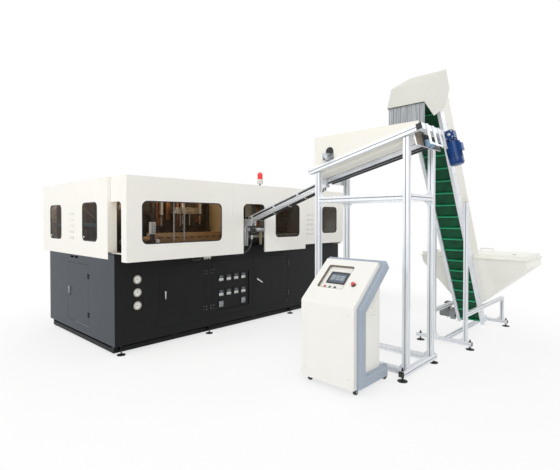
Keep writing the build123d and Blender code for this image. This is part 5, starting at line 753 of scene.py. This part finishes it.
# Valve block at the left of the front window, with its ports, regulator and stand
block, ports = meshes(2)
add_box(block, (0.307, -0.150, 1.425), (0.372, -0.100, 1.570), 0.003)
for row, column in product(range(4), range(2)):
    add_lathe(ports, [(0, 0.0002), (0.007, 0.0002), (0.007, 0.003), (0.004, 0.004), (0, 0.004)],
              frame_at((0.324 + 0.030 * column, -0.150, 1.450 + 0.032 * row), FRONT), 16)
add_lathe(ports, [(0, 0), (0.021, 0), (0.023, 0.004), (0.023, 0.026), (0.020, 0.030), (0, 0.030)],
          frame_at((0.340, -0.115, 1.640), FRONT), 28)
add_rod(ports, (0.340, -0.128, 1.570), (0.340, -0.128, 1.630), 0.008)
add_box(ports, (0.318, -0.150, ROD_FOOT), (0.360, -0.110, 1.425), 0.003)
add_box(ports, (0.300, -0.130, 1.330), (0.385, -0.100, 1.345), 0.002)
add_box(block, (0.395, -0.135, 1.300), (0.430, -0.100, 1.360), 0.004)
add_box(block, (0.425, -0.135, 1.235), (0.480, -0.105, 1.280), 0.004)
piece("valve_block", block, "track_cream", "keypad_white")
piece("valve_ports", ports, "control_black", "ink")

# Beam under the preform row with its slots, and the beige screen at its right
beam, slots, screen = meshes(3)
add_box(beam, (0.470, 0.078, 1.300), (TRACK_HIGH[0], 0.120, 1.425), 0.004)
for i in range(9):
    x = 0.535 + i * 0.122
    add_box(slots, (x, 0.0765, 1.355), (x + 0.070, 0.0785, 1.369), 0.0005)
piece("beam_shell", beam, "track_cream")
for i in range(HOLDERS - 1):
    x = FIRST_HOLDER + (i + 0.5) * HOLDER_PITCH
    add_box(slots, (x - 0.012, 0.128, 1.428), (x + 0.012, 0.190, 1.452), 0.002)
piece("beam_slots", slots, "track_cream", "ink")
add_box(screen, (1.628, -0.205, DECK), (1.631, 0.470, 2.046), 0.001)
add_box(screen, (1.606, -0.205, DECK), (1.628, -0.198, 2.046), 0.001)
piece("beige_screen", screen, "track_cream", "pipe_beige")

# Work light over the clamp, and the oven's lamps before their reflector
OVEN_TOP, LAMP_PITCH = 1.400, 0.072
light, lamps, reflector = meshes(3)
add_rod(light, (0.400, -0.180, 2.030), (1.550, -0.180, 2.030), 0.013)
piece("work_lights", light, "frame_steel", "lamp_glow")
for i in range(6):
    z = OVEN_TOP + LAMP_PITCH * i
    add_rod(lamps, (2.440, 0.800, z), (3.750, 0.800, z), 0.008, 14)
piece("oven_lamps", lamps, "roller_steel", "quartz_tube")
for x in (2.420, 3.755):
    add_box(reflector, (x, 0.780, 1.375), (x + 0.018, 0.835, 1.785), 0.002)
add_box(reflector, (2.420, 0.850, 1.350), (3.773, 0.853, 1.850), 0.001)
piece("oven_reflector", reflector, "roller_steel", "mould_steel")

# Parts seen through the feed opening: clamp over a pale pipe, brown plates, dark posts
grip, pale, brown = meshes(3)
add_box(grip, (2.210, 0.030, 1.405), (2.430, 0.075, 1.462), 0.006)
add_hexes(grip, product((2.235, 2.318, 2.405), (0.030,), (1.434,)), FRONT, 0.014, 0.010)
add_box(grip, (1.800, -0.170, ROD_FOOT), (1.818, -0.150, 1.500), 0.002)
add_box(grip, (1.800, -0.175, 1.490), (1.870, -0.130, 1.510), 0.002)
add_rod(pale, (2.340, 0.055, DECK), (2.340, 0.055, 1.405), 0.024, 28)
add_rod(pale, (2.090, 0.300, DECK), (2.090, 0.300, 1.720), 0.030, 28)
add_box(pale, (2.190, 0.250, 1.640), (2.330, 0.262, 1.960), 0.002)
add_box(brown, (1.880, 0.280, 1.560), (2.020, 0.292, 1.940), 0.002)
add_box(brown, (2.360, 0.180, 1.480), (2.440, 0.192, 1.900), 0.002)
piece("feed_clamp", grip, "zinc_steel", "motor_silver")
piece("feed_pipes", pale, "track_cream", "pipe_beige")
piece("feed_plates", brown, "clamp_grey", "copper_plate")
posts, clamps = meshes(2)
for x in (1.880, 1.960, 2.240, 2.300):
    add_rod(posts, (x, 0.330, DECK), (x, 0.330, 1.960), 0.016)
add_box(posts, (1.840, 0.310, 1.500), (2.450, 0.350, 1.560), 0.003)
piece("feed_machinery", posts, "clamp_grey", "control_black")
for z in (1.486, 1.468):
    add_lathe(clamps, [(0.0232, 0), (0.0262, 0), (0.0262, 0.010), (0.0232, 0.010)], moved(1.797, 0.010, z))
piece("hose_clamps", clamps, "zinc_steel", "bolt_steel")

# Parts seen through the end windows: posts, a blue manifold, a slanting link, fittings and flat lights
posts, manifold, bars, fittings, lights = meshes(5)
for x, y, radius in ((0.060, 1.120, 0.028), (0.060, 1.010, 0.020), (0.025, 2.120, 0.020),
                     (0.025, 2.020, 0.014)):
    add_rod(posts, (x, y, DECK), (x, y, UNDER_ROOF), radius, 24)
add_box(posts, (0.032, 0.960, 1.790), (0.088, 1.170, 1.830), 0.004)
for y0, y1, z in ((0.660, 1.200, 1.505), (1.880, 2.220, 1.500)):
    add_box(manifold, (-0.005, y0, z), (0.010, y1, z + 0.046), 0.003)
add_rod(bars, (0.020, 1.150, 1.760), (0.020, 0.720, 1.590), 0.009)
add_rod(bars, (0.045, 0.900, DECK), (0.045, 0.900, 1.900), 0.012)
for z in (1.590, 1.660, 1.730):
    add_box(bars, (-0.005, 1.900, z), (0.006, 2.220, z + 0.014), 0.002)
add_hexes(fittings, product((0.010,), (1.060,), (1.370, 1.410, 1.450)), END, 0.013, 0.012)
add_box(fittings, (0.010, 1.040, 1.350), (0.032, 1.082, 1.470), 0.003)
add_box(bars, (0.140, 1.600, 1.210), (1.750, 1.612, 2.030), 0.002)
for y0, y1 in ((0.700, 1.250), (1.850, 2.200)):
    add_box(lights, (0.000, y0, 2.034), (0.110, y1, UNDER_ROOF), 0.001)
piece("end_lights", lights, "frame_steel", "lamp_panel")
piece("end_posts", posts, "clamp_grey", "copper_plate")
piece("end_manifold", manifold, "clamp_grey", "bearing_blue")
piece("end_links", bars, "zinc_steel", "underside_shade")
piece("end_fittings", fittings, "zinc_steel", "brass_rim")

# Black hose from the chute end down to the casing front
HOSE_POINTS = [
    (1.897, -0.205, 1.5365),
    (1.902, -0.205, 1.440),
    (1.905, -0.204, 1.340),
    (1.902, -0.202, 1.270),
    (1.880, -0.198, 1.205),
    (1.838, -0.194, 1.152),
    (1.775, -0.180, 1.118),
    (1.715, -0.140, 1.098),
    (1.680, -0.095, 1.085),
    (1.665, -0.0458, 1.078),
]
HOSE_RADIUS, HOSE_RIB, HOSE_PITCH = 0.0165, 0.0016, 0.006
hose, sleeve = meshes(2)
add_tube(hose, HOSE_POINTS, HOSE_RADIUS, HOSE_RIB, HOSE_PITCH)
piece("feed_hose", hose, "hose_black", "hose_rubber")
add_lathe(sleeve, [(0.0168, 0), (0.020, 0), (0.020, 0.060), (0.0168, 0.060)],
          moved(1.9045, -0.2035, 1.310), 28)
piece("hose_sleeve", sleeve, "zinc_steel", "bolt_steel")

# Chute: dark tubes carried under the channel, its clips, screws and edge lines
CHUTE_LOW, CHUTE_TOP = Vector((1.897, -0.201, 1.569)), Vector((1.897, -1.602, 2.037))
CHUTE_RUN = (CHUTE_TOP - CHUTE_LOW).length
CHUTE = frame_at(CHUTE_LOW, CHUTE_TOP - CHUTE_LOW)
CHUTE_SIDE = CHUTE.to_3x3() @ Vector((1, 0, 0))
tubes, fittings = meshes(2)
for x in (-0.024, 0.024):
    foot, top = (CHUTE @ Vector((x, -0.043, s)) for s in (0.150, CHUTE_RUN - 0.060))
    add_rod(tubes, foot, top, 0.0115, 20)
    add_box(tubes, (x - 0.004, 0.0308, 0.070), (x + 0.004, 0.0570, CHUTE_RUN - 0.020), 0.001, CHUTE)
piece("chute_tubes", tubes, "hose_black")
for i, side, y in product(range(4), (-1, 1), (-0.020, 0.012)):
    place = CHUTE @ Vector((side * 0.033, y, 0.075 + i * 0.460))
    add_screws(fittings, [place], CHUTE_SIDE * side, 0.006, 0.004)
for s in (0.200, 0.500, 0.800, 1.100, 1.400):
    add_box(fittings, (-0.0355, -0.056, s), (0.0355, -0.0312, s + 0.016), 0.002, CHUTE)
for side, (y0, y1) in product((-0.0345, 0.0345), ((-0.020, -0.012), (0.006, 0.010))):
    add_box(fittings, (side - 0.0012, y0, 0.0), (side + 0.0012, y1, CHUTE_RUN), 0.0004, CHUTE)
piece("chute_fittings", fittings, "rail_steel", "mould_steel")

# Sorter: bars across the high end, bearing blocks, and the end caps of all profiles
SORTER_FOOT_Y, SORTER_FOOT_Z = -1.570, 2.196
SLOPE = Matrix(((1, 0, 0, 0), (0, SLOPE_N.y, SLOPE_S.y, SORTER_FOOT_Y),
                (0, SLOPE_N.z, SLOPE_S.z, SORTER_FOOT_Z), (0, 0, 0, 1)))
STAND_X, STAND_Y, RAIL_X = (1.617, 2.202), (-2.790, -1.680), (1.592, 2.227)
LEG_X, LEG_Y, LEG_TOP = (3.037, 4.570), (-2.8725, -2.4745), 1.8172
STAND_LOW, STAND_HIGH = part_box("stand_frame")
ELEVATOR_LOW, ELEVATOR_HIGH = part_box("elevator_frame")
CAP_THICK, STAND_HALF, LEG_HALF = 0.003, 0.0295, 0.022
BAR_TOP = 1.4440
bars, bearings, caps = meshes(3)
for x, half in ((1.672, 0.019), (1.812, 0.019), (1.948, 0.017), (2.050, 0.014)):
    add_box(bars, (x - half, -0.212, 1.4312), (x + half, -0.001, BAR_TOP), 0.002, SLOPE)
    add_screws(bars, [SLOPE @ Vector((x, n, BAR_TOP)) for n in (-0.022, -0.044)], SLOPE_S, 0.006, 0.004)
add_box(bars, (1.640, -0.212, 1.4444), (2.070, -0.192, 1.4484), 0.001, SLOPE)
piece("end_bars", bars, "profile")
for x in (1.852, 1.942):
    add_box(bearings, (x - 0.032, -0.172, 1.3184), (x + 0.032, -0.102, 1.352), 0.006, SLOPE)
    add_lathe(bearings, [(0.012, 0), (0.024, 0), (0.024, 0.006), (0.012, 0.010)],
              SLOPE @ moved(x, -0.137, 1.352), 28)
piece("bearing_blocks", bearings, "roller_steel", "bearing_blue")
for x in (1.5585, 2.2570):
    add_box(caps, (x, -0.0595, 1.3715), (x + 0.0035, -0.0005, 1.4305), 0.001, SLOPE)
for x in RAIL_X:
    add_box(caps, (x - STAND_HALF, -0.0595, -0.0035), (x + STAND_HALF, -0.0005, 0.0), 0.001, SLOPE)
for y, low in product(STAND_Y, (STAND_LOW[0] - CAP_THICK, STAND_HIGH[0])):
    add_box(caps, (low, y - STAND_HALF, 0.0445), (low + CAP_THICK, y + STAND_HALF, 0.1035), 0.001)
for x, low in product(LEG_X, (ELEVATOR_LOW[1] - CAP_THICK, ELEVATOR_HIGH[1])):
    add_box(caps, (x - LEG_HALF, low, 0.0465), (x + LEG_HALF, low + CAP_THICK, 0.0905), 0.001)
for y in LEG_Y:
    add_box(caps, (LEG_X[0] - LEG_HALF, y - LEG_HALF, LEG_TOP),
            (LEG_X[0] + LEG_HALF, y + LEG_HALF, LEG_TOP + CAP_THICK), 0.001)
piece("profile_caps", caps, "profile", "control_black")

# Grey strips in the slots of the stand and the elevator legs, as painted shade in the slots
STAND_SIZE, LEG_SIZE, HALF_POST = 0.060, 0.045, 0.030
ALONG_X = (0, 1, 0)
BEAM_Z, FOOT_Z, TIE_Z, LEG_FOOT_Z = 1.835, 0.074, 0.420, 0.0685
strips = bmesh.new()
for x in STAND_X:
    for y in STAND_Y:
        top = SORTER_FOOT_Z + (SORTER_FOOT_Y - y) * math.tan(SORTER_SLOPE) - 0.0618 - 0.009
        add_slot_shade(strips, (x, y, 0.104), (x, y, top), STAND_SIZE)
    for z, sides in ((BEAM_Z, (0, 1, 2, 3)), (FOOT_Z, (1, 3))):
        add_slot_shade(strips, (x, STAND_Y[0] + HALF_POST, z), (x, STAND_Y[1] - HALF_POST, z), STAND_SIZE,
                        sides=sides)
for y in STAND_Y:
    add_slot_shade(strips, (STAND_X[0] + HALF_POST, y, BEAM_Z), (STAND_X[1] - HALF_POST, y, BEAM_Z),
                    STAND_SIZE, ALONG_X)
    add_slot_shade(strips, (STAND_LOW[0], y, FOOT_Z), (STAND_HIGH[0], y, FOOT_Z), STAND_SIZE, ALONG_X,
                    (0, 2))
for x, side in zip(RAIL_X, (-1, 1)):
    low, high = sorted((x + side * 0.0278, x + side * 0.0258))
    add_box(strips, (low, -0.0354, 0.004), (high, -0.0246, 1.428), 0, SLOPE)
    add_box(strips, (x - 0.0054, -0.0578, 0.004), (x + 0.0054, -0.0558, 1.367), 0, SLOPE)
for y in LEG_Y:
    add_slot_shade(strips, (LEG_X[0], y, 0.091), (LEG_X[0], y, 1.817), LEG_SIZE)
    add_slot_shade(strips, (LEG_X[1], y, 0.091), (LEG_X[1], y, 0.4415), LEG_SIZE)
    add_slot_shade(strips, (3.0595, y, TIE_Z), (4.5475, y, TIE_Z), LEG_SIZE, ALONG_X)
for x in LEG_X:
    add_slot_shade(strips, (x, ELEVATOR_LOW[1], LEG_FOOT_Z), (x, ELEVATOR_HIGH[1], LEG_FOOT_Z), LEG_SIZE,
                    sides=(1, 3))
add_slot_shade(strips, (3.0595, -2.6135, LEG_FOOT_Z), (4.5475, -2.6135, LEG_FOOT_Z), LEG_SIZE, ALONG_X)
piece("slot_shade_strips", strips, "profile", "slot_shade_grey", smooth=False)

# Painted shade over the roller end plate, a pale sheet and a dark one, and dark sheets as painted shade
# inside the kicker's arch
pale_shade, shade, arch_shade = meshes(3)
for bm, x0, x1 in ((pale_shade, 1.625, 1.790), (shade, 1.7905, 2.194)):
    add_box(bm, (x0, -0.1735, 1.3176), (x1, -0.0315, 1.3186), 0.0003, SLOPE)
piece("end_plate_pale_shade", pale_shade, "sorter_sheet", "underside_shade")
piece("end_plate_shade", shade, "profile", "wheel_black")
# Dark sheets inside the kicker's arch: painted shade
for y0, y1, z0, z1 in ((-1.920, -1.869, 2.284, 2.440), (-1.847, -1.796, 2.272, 2.440),
                       (-1.869, -1.847, 2.274, 2.307), (-1.869, -1.847, 2.330, 2.440)):
    add_box(arch_shade, (1.5938, y0, z0), (1.5948, y1, z1), 0)
piece("arch_shade_sheets", arch_shade, "wheel_black")

# Roller gearmotor: gearbox screws and shaft cap, flange bolts and the fan cowl
GEARBOX_X, GEARBOX_S = (2.080, 2.164), 1.479
MOTOR = frame_at(SLOPE @ Vector((2.122, -0.116, GEARBOX_S)), -SLOPE_N, (1, 0, 0))
screws, bolts, cowl = meshes(3)
for n, s in product((-0.100, -0.036), (1.447, 1.511)):
    for x, out in zip(GEARBOX_X, (-1, 1)):
        add_screws(screws, [SLOPE @ Vector((x, n, s))], (out, 0, 0), 0.0075, 0.006)
for x, n in product((2.096, 2.148), (-0.104, -0.032)):
    add_screws(screws, [SLOPE @ Vector((x, n, 1.527))], SLOPE_S, 0.006, 0.005)
add_lathe(screws, [(0, 0), (0.016, 0), (0.016, 0.006), (0.010, 0.009), (0, 0.009)],
          frame_at(SLOPE @ Vector((GEARBOX_X[0], -0.068, GEARBOX_S)), (-1, 0, 0)), 24)
piece("gearbox_bolts", screws, "zinc_steel", "bolt_steel")
add_hexes(bolts, [MOTOR @ Vector((x, y, 0.012)) for x, y in circle(0.050, 6, 30)], -SLOPE_N, 0.007, 0.006,
          (1, 0, 0))
add_lathe(cowl, [(0.0662, 0.203), (0.0725, 0.203), (0.0730, 0.206), (0.0730, 0.250), (0.0700, 0.262),
                 (0.0600, 0.272), (0, 0.274), (0, 0.2556), (0.0650, 0.2556)], MOTOR, 48)
piece("motor_bolts", bolts, "zinc_steel", "bolt_steel")
piece("motor_cowl", cowl, "motor_blue")

# Belt conveyor: bolts in the side rails, hood and cover screws, cover seams
BELT = Matrix(((BELT_OUT.x, 0, BELT_UP.x, BELT_FOOT.x), (0, 1, 0, BELT_FOOT.y),
               (BELT_OUT.z, 0, BELT_UP.z, BELT_FOOT.z), (0, 0, 0, 1)))
BELT_RUN, RAIL_SIDE, PULLEY_SIDE, HOOD_SIDE = 3.212, 0.1765, 0.1985, 0.2065
HOOD_SCREWS = ((0.120, 0.170), (0.100, -0.240), (-0.020, -0.400), (-0.165, -0.290), (-0.180, -0.040),
               (0.110, -0.030))
COVER_SCREW = (0.0045, 0.0026)
bolts, screws, seams = meshes(3)
for side in (-1, 1):
    out = (0, side, 0)
    add_screws(bolts, [BELT @ Vector((-0.027, side * RAIL_SIDE, 0.120 + 0.260 * i)) for i in range(12)], out,
               0.006, 0.004)
    for u, (n, du) in product((0.0, BELT_RUN), circle(0.034, 4, 45)):
        add_hexes(bolts, [BELT @ Vector((n, side * PULLEY_SIDE, u + du))], out, 0.006, 0.005, BELT_UP)
piece("conveyor_bolts", bolts, "zinc_steel", "bolt_steel")
for side, i, n in product((-1, 1), range(8), (0.040, 0.205)):
    add_screws(screws, [BELT @ Vector((n, side * RAIL_SIDE, 0.780 + 0.320 * i))], (0, side, 0), *COVER_SCREW)
for u in (1.500, 2.280):
    add_box(seams, (0.2275, -0.1770, u), (0.2292, 0.1770, u + 0.024), 0.0005, BELT)
    places = [BELT @ Vector((0.2292, y, u + 0.012)) for y in (-0.150, -0.050, 0.050, 0.150)]
    add_screws(screws, places, BELT_OUT, *COVER_SCREW)
for side in (-1, 1):
    places = [BELT @ Vector((n, side * HOOD_SIDE, BELT_RUN + u)) for n, u in HOOD_SCREWS]
    add_screws(screws, places, (0, side, 0), 0.005, 0.003)
piece("cover_screws", screws, "zinc_steel", "bolt_steel")
piece("cover_seams", seams, "cover_sheet")

# Hopper: rim bolts, and the lid's pull and cap
HOPPER_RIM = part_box("hopper")[1][2] + 0.0002
HOPPER_SIDES, HOPPER_END = (-3.467, -2.148), 4.169
LID_PULL_X, LID_PULL_Z, LID_TOP = 4.060, 1.1860, 1.1515
bolts, pull = meshes(2)
places = [(3.480 + 0.120 * i, y, HOPPER_RIM) for i, y in product(range(6), HOPPER_SIDES)]
places += [(HOPPER_END, -3.380 + 0.140 * i, HOPPER_RIM) for i in range(9)]
add_hexes(bolts, places, (0, 0, 1), 0.006, 0.004, (1, 0, 0))
piece("hopper_bolts", bolts, "zinc_steel", "bolt_steel")
add_rod(pull, (LID_PULL_X, -2.900, LID_PULL_Z), (LID_PULL_X, -2.720, LID_PULL_Z), 0.007)
for y in (-2.890, -2.730):
    add_rod(pull, (LID_PULL_X, y, LID_TOP), (LID_PULL_X, y, LID_PULL_Z), 0.006)
add_lathe(pull, [(0, 0), (0.030, 0), (0.030, 0.016), (0.024, 0.024), (0, 0.026)],
          moved(3.480, -2.320, LID_TOP + 0.0003))
piece("lid_pull", pull, "cover_sheet")

# Console: painted shade on the walls of the sunk panel, and screws
CONSOLE_FACE, CONSOLE_SIDES = 0.8598, ((-2.7098, -1), (-2.0132, 1))
recess_shade, screws = meshes(2)
add_ring(recess_shade, 0.3046, 0.2996, 0.0218, [(0, -0.0278), (0, 0.0006), (0.0024, 0.0006), (0.0030, -0.0278)],
         on_panel(-0.068, 0.330, 0))
piece("panel_recess_shade", recess_shade, "console_cream", "panel_recess_shade")
places = [on_panel(side, along).translation for side, along in product((-0.205, 0.069), (0.196, 0.464))]
add_screws(screws, places, PANEL_OUT, 0.004, 0.0024)
places = [(CONSOLE_FACE, y, z) for z, y in product((0.160, 0.740), (-2.612, -2.111))]
add_screws(screws, places, (-1, 0, 0), 0.0045, 0.0022)
for y, out in CONSOLE_SIDES:
    add_screws(screws, [(1.250, y, 0.130)], (0, out, 0), 0.005, 0.003)
piece("console_screws", screws, "zinc_steel", "bolt_steel")

# Gusset screws on the stand, over and under its beams
GUSSET_SCREW, GUSSET_REACH = (0.005, 0.004), 0.034
OVER, UNDER = (1.865, 1), (1.805, -1)
bm = bmesh.new()
for x, (y, side), (z, up) in product(STAND_X, ((-2.760, 1), (-1.710, -1)), (OVER, UNDER, (0.104, 1))):
    add_screws(bm, [(x, y + side * GUSSET_REACH, z + up * 0.0002)], (0, 0, up), *GUSSET_SCREW, (1, 0, 0))
for y, (x, side), (z, up) in product(STAND_Y, ((1.647, 1), (2.172, -1)), (OVER, UNDER)):
    add_screws(bm, [(x + side * GUSSET_REACH, y, z + up * 0.0002)], (0, 0, up), *GUSSET_SCREW, (1, 0, 0))
piece("gusset_screws", bm, "zinc_steel", "bolt_steel")

# Guards: rows of screws in the feed guard, the rear guards and the end guard
GUARD_SCREW = (0.0045, 0.0022)
FEED_FACE, REAR_FACE, END_FACE = -0.2892, 2.3502, -0.1062
REAR_COLUMNS, REAR_LEVELS = (-0.070, 1.330, 1.400, 2.790, 2.860, 4.170), (1.180, 1.480, 1.780, 2.070)
bm = bmesh.new()
add_screws(bm, product((1.512, 2.990), (FEED_FACE,), (1.150, 1.420, 1.720, 2.060)), FRONT, *GUARD_SCREW)
add_screws(bm, product(REAR_COLUMNS, (REAR_FACE,), REAR_LEVELS), REAR, *GUARD_SCREW)
add_screws(bm, product((END_FACE,), (0.150, 1.260, 2.320), (1.170, 1.300, 1.900, 2.070)), END, *GUARD_SCREW)
piece("guard_screws", bm, "zinc_steel", "rim_paint")

# Stage: pale floor that turns to plain white away from the object
STAGE_PLACE = (2.0, -0.6, -0.0004)
STAGE_SIZE = 60.0
FLOOR_TONE, FLOOR_ROUGH = (0.93, 0.93, 0.93, 1), 0.9
FADE_START, FADE_END, FADE_LEAST = 3.2, 5.2, 0.72
WHITE = (1, 1, 1, 1)
AMBIENT = 0.42


def seen_directly(tree):
    """One for rays that come straight, mirrored or through a pane from the camera, else nothing."""
    path = add_node(tree, "LightPath").outputs
    seen = add_node(tree, "Math", {0: path["Is Camera Ray"], 1: path["Is Glossy Ray"]}, operation="MAXIMUM")
    return add_node(tree, "Math", {0: seen.outputs[0], 1: path["Is Transmission Ray"]},
                    operation="MAXIMUM").outputs[0]


def mixed(tree, share, first, second, end):
    """Mixes two shaders by a share, into the tree's end node."""
    mix = add_node(tree, "MixShader", {"Fac": share, 1: first.outputs[0], 2: second.outputs[0]})
    set_inputs(tree, tree.nodes[end], {"Surface": mix.outputs[0]})


floor_mat = bpy.data.materials.new("stage_floor")
floor_mat.use_nodes = True
tree = floor_mat.node_tree
diffuse = tree.nodes["Principled BSDF"]
set_inputs(tree, diffuse, {"Base Color": FLOOR_TONE, "Roughness": FLOOR_ROUGH, "Specular IOR Level": 0.0})
place = add_node(tree, "TexCoord").outputs["Object"]
far = add_node(tree, "VectorMath", {0: place}, operation="LENGTH").outputs["Value"]
fade = add_node(tree, "MapRange", {"Value": far, "From Min": FADE_START, "From Max": FADE_END,
                                   "To Min": FADE_LEAST}, interpolation_type="SMOOTHSTEP").outputs["Result"]
share = add_node(tree, "Math", {0: fade, 1: seen_directly(tree)}, operation="MULTIPLY").outputs[0]
mixed(tree, share, diffuse, add_node(tree, "Emission", {"Color": WHITE}), "Material Output")
bm = bmesh.new()
bmesh.ops.create_grid(bm, x_segments=4, y_segments=4, size=STAGE_SIZE)
floor_mesh = bpy.data.meshes.new("stage_floor")
bm.to_mesh(floor_mesh)
bm.free()
floor_mesh.materials.append(floor_mat)
floor = shown("stage_floor", floor_mesh)
floor.location = STAGE_PLACE

# Soft rectangular lamps: place, aim, size and power
LAMPS = {
    "key": ((-5.5, -8.0, 7.0), (2.0, -0.5, 1.0), (5.0, 4.0), 430),
    "fill": ((8.5, -8.0, 5.0), (2.5, -1.0, 1.2), (5.0, 4.0), 200),
    "side": ((-7.5, 2.5, 5.0), (0.0, 1.0, 1.0), (4.0, 4.0), 260),
    "top": ((2.0, 0.0, 9.5), (2.0, 0.0, 1.0), (8.0, 8.0), 200),
    "rear": ((5.0, 9.0, 6.0), (2.0, 1.0, 1.0), (6.0, 4.0), 190),
}
for name, (place, aim, size, power) in LAMPS.items():
    data = bpy.data.lights.new(name, "AREA")
    data.shape = "RECTANGLE"
    data.size, data.size_y = size
    data.energy = power
    lamp = shown(name, data)
    lamp.location = place
    lamp.rotation_euler = (Vector(aim) - Vector(place)).to_track_quat("-Z", "Y").to_euler()

# World: white where it is seen, softer as light
world = bpy.data.worlds.new("studio")
bpy.context.scene.world = world
world.use_nodes = True
tree = world.node_tree
ambient = tree.nodes["Background"]
set_inputs(tree, ambient, {"Color": WHITE, "Strength": AMBIENT})
backdrop = add_node(tree, "Background", {"Color": WHITE, "Strength": 1.0})
mixed(tree, seen_directly(tree), ambient, backdrop, "World Output")
bpy.context.scene.view_settings.view_transform = "Standard"
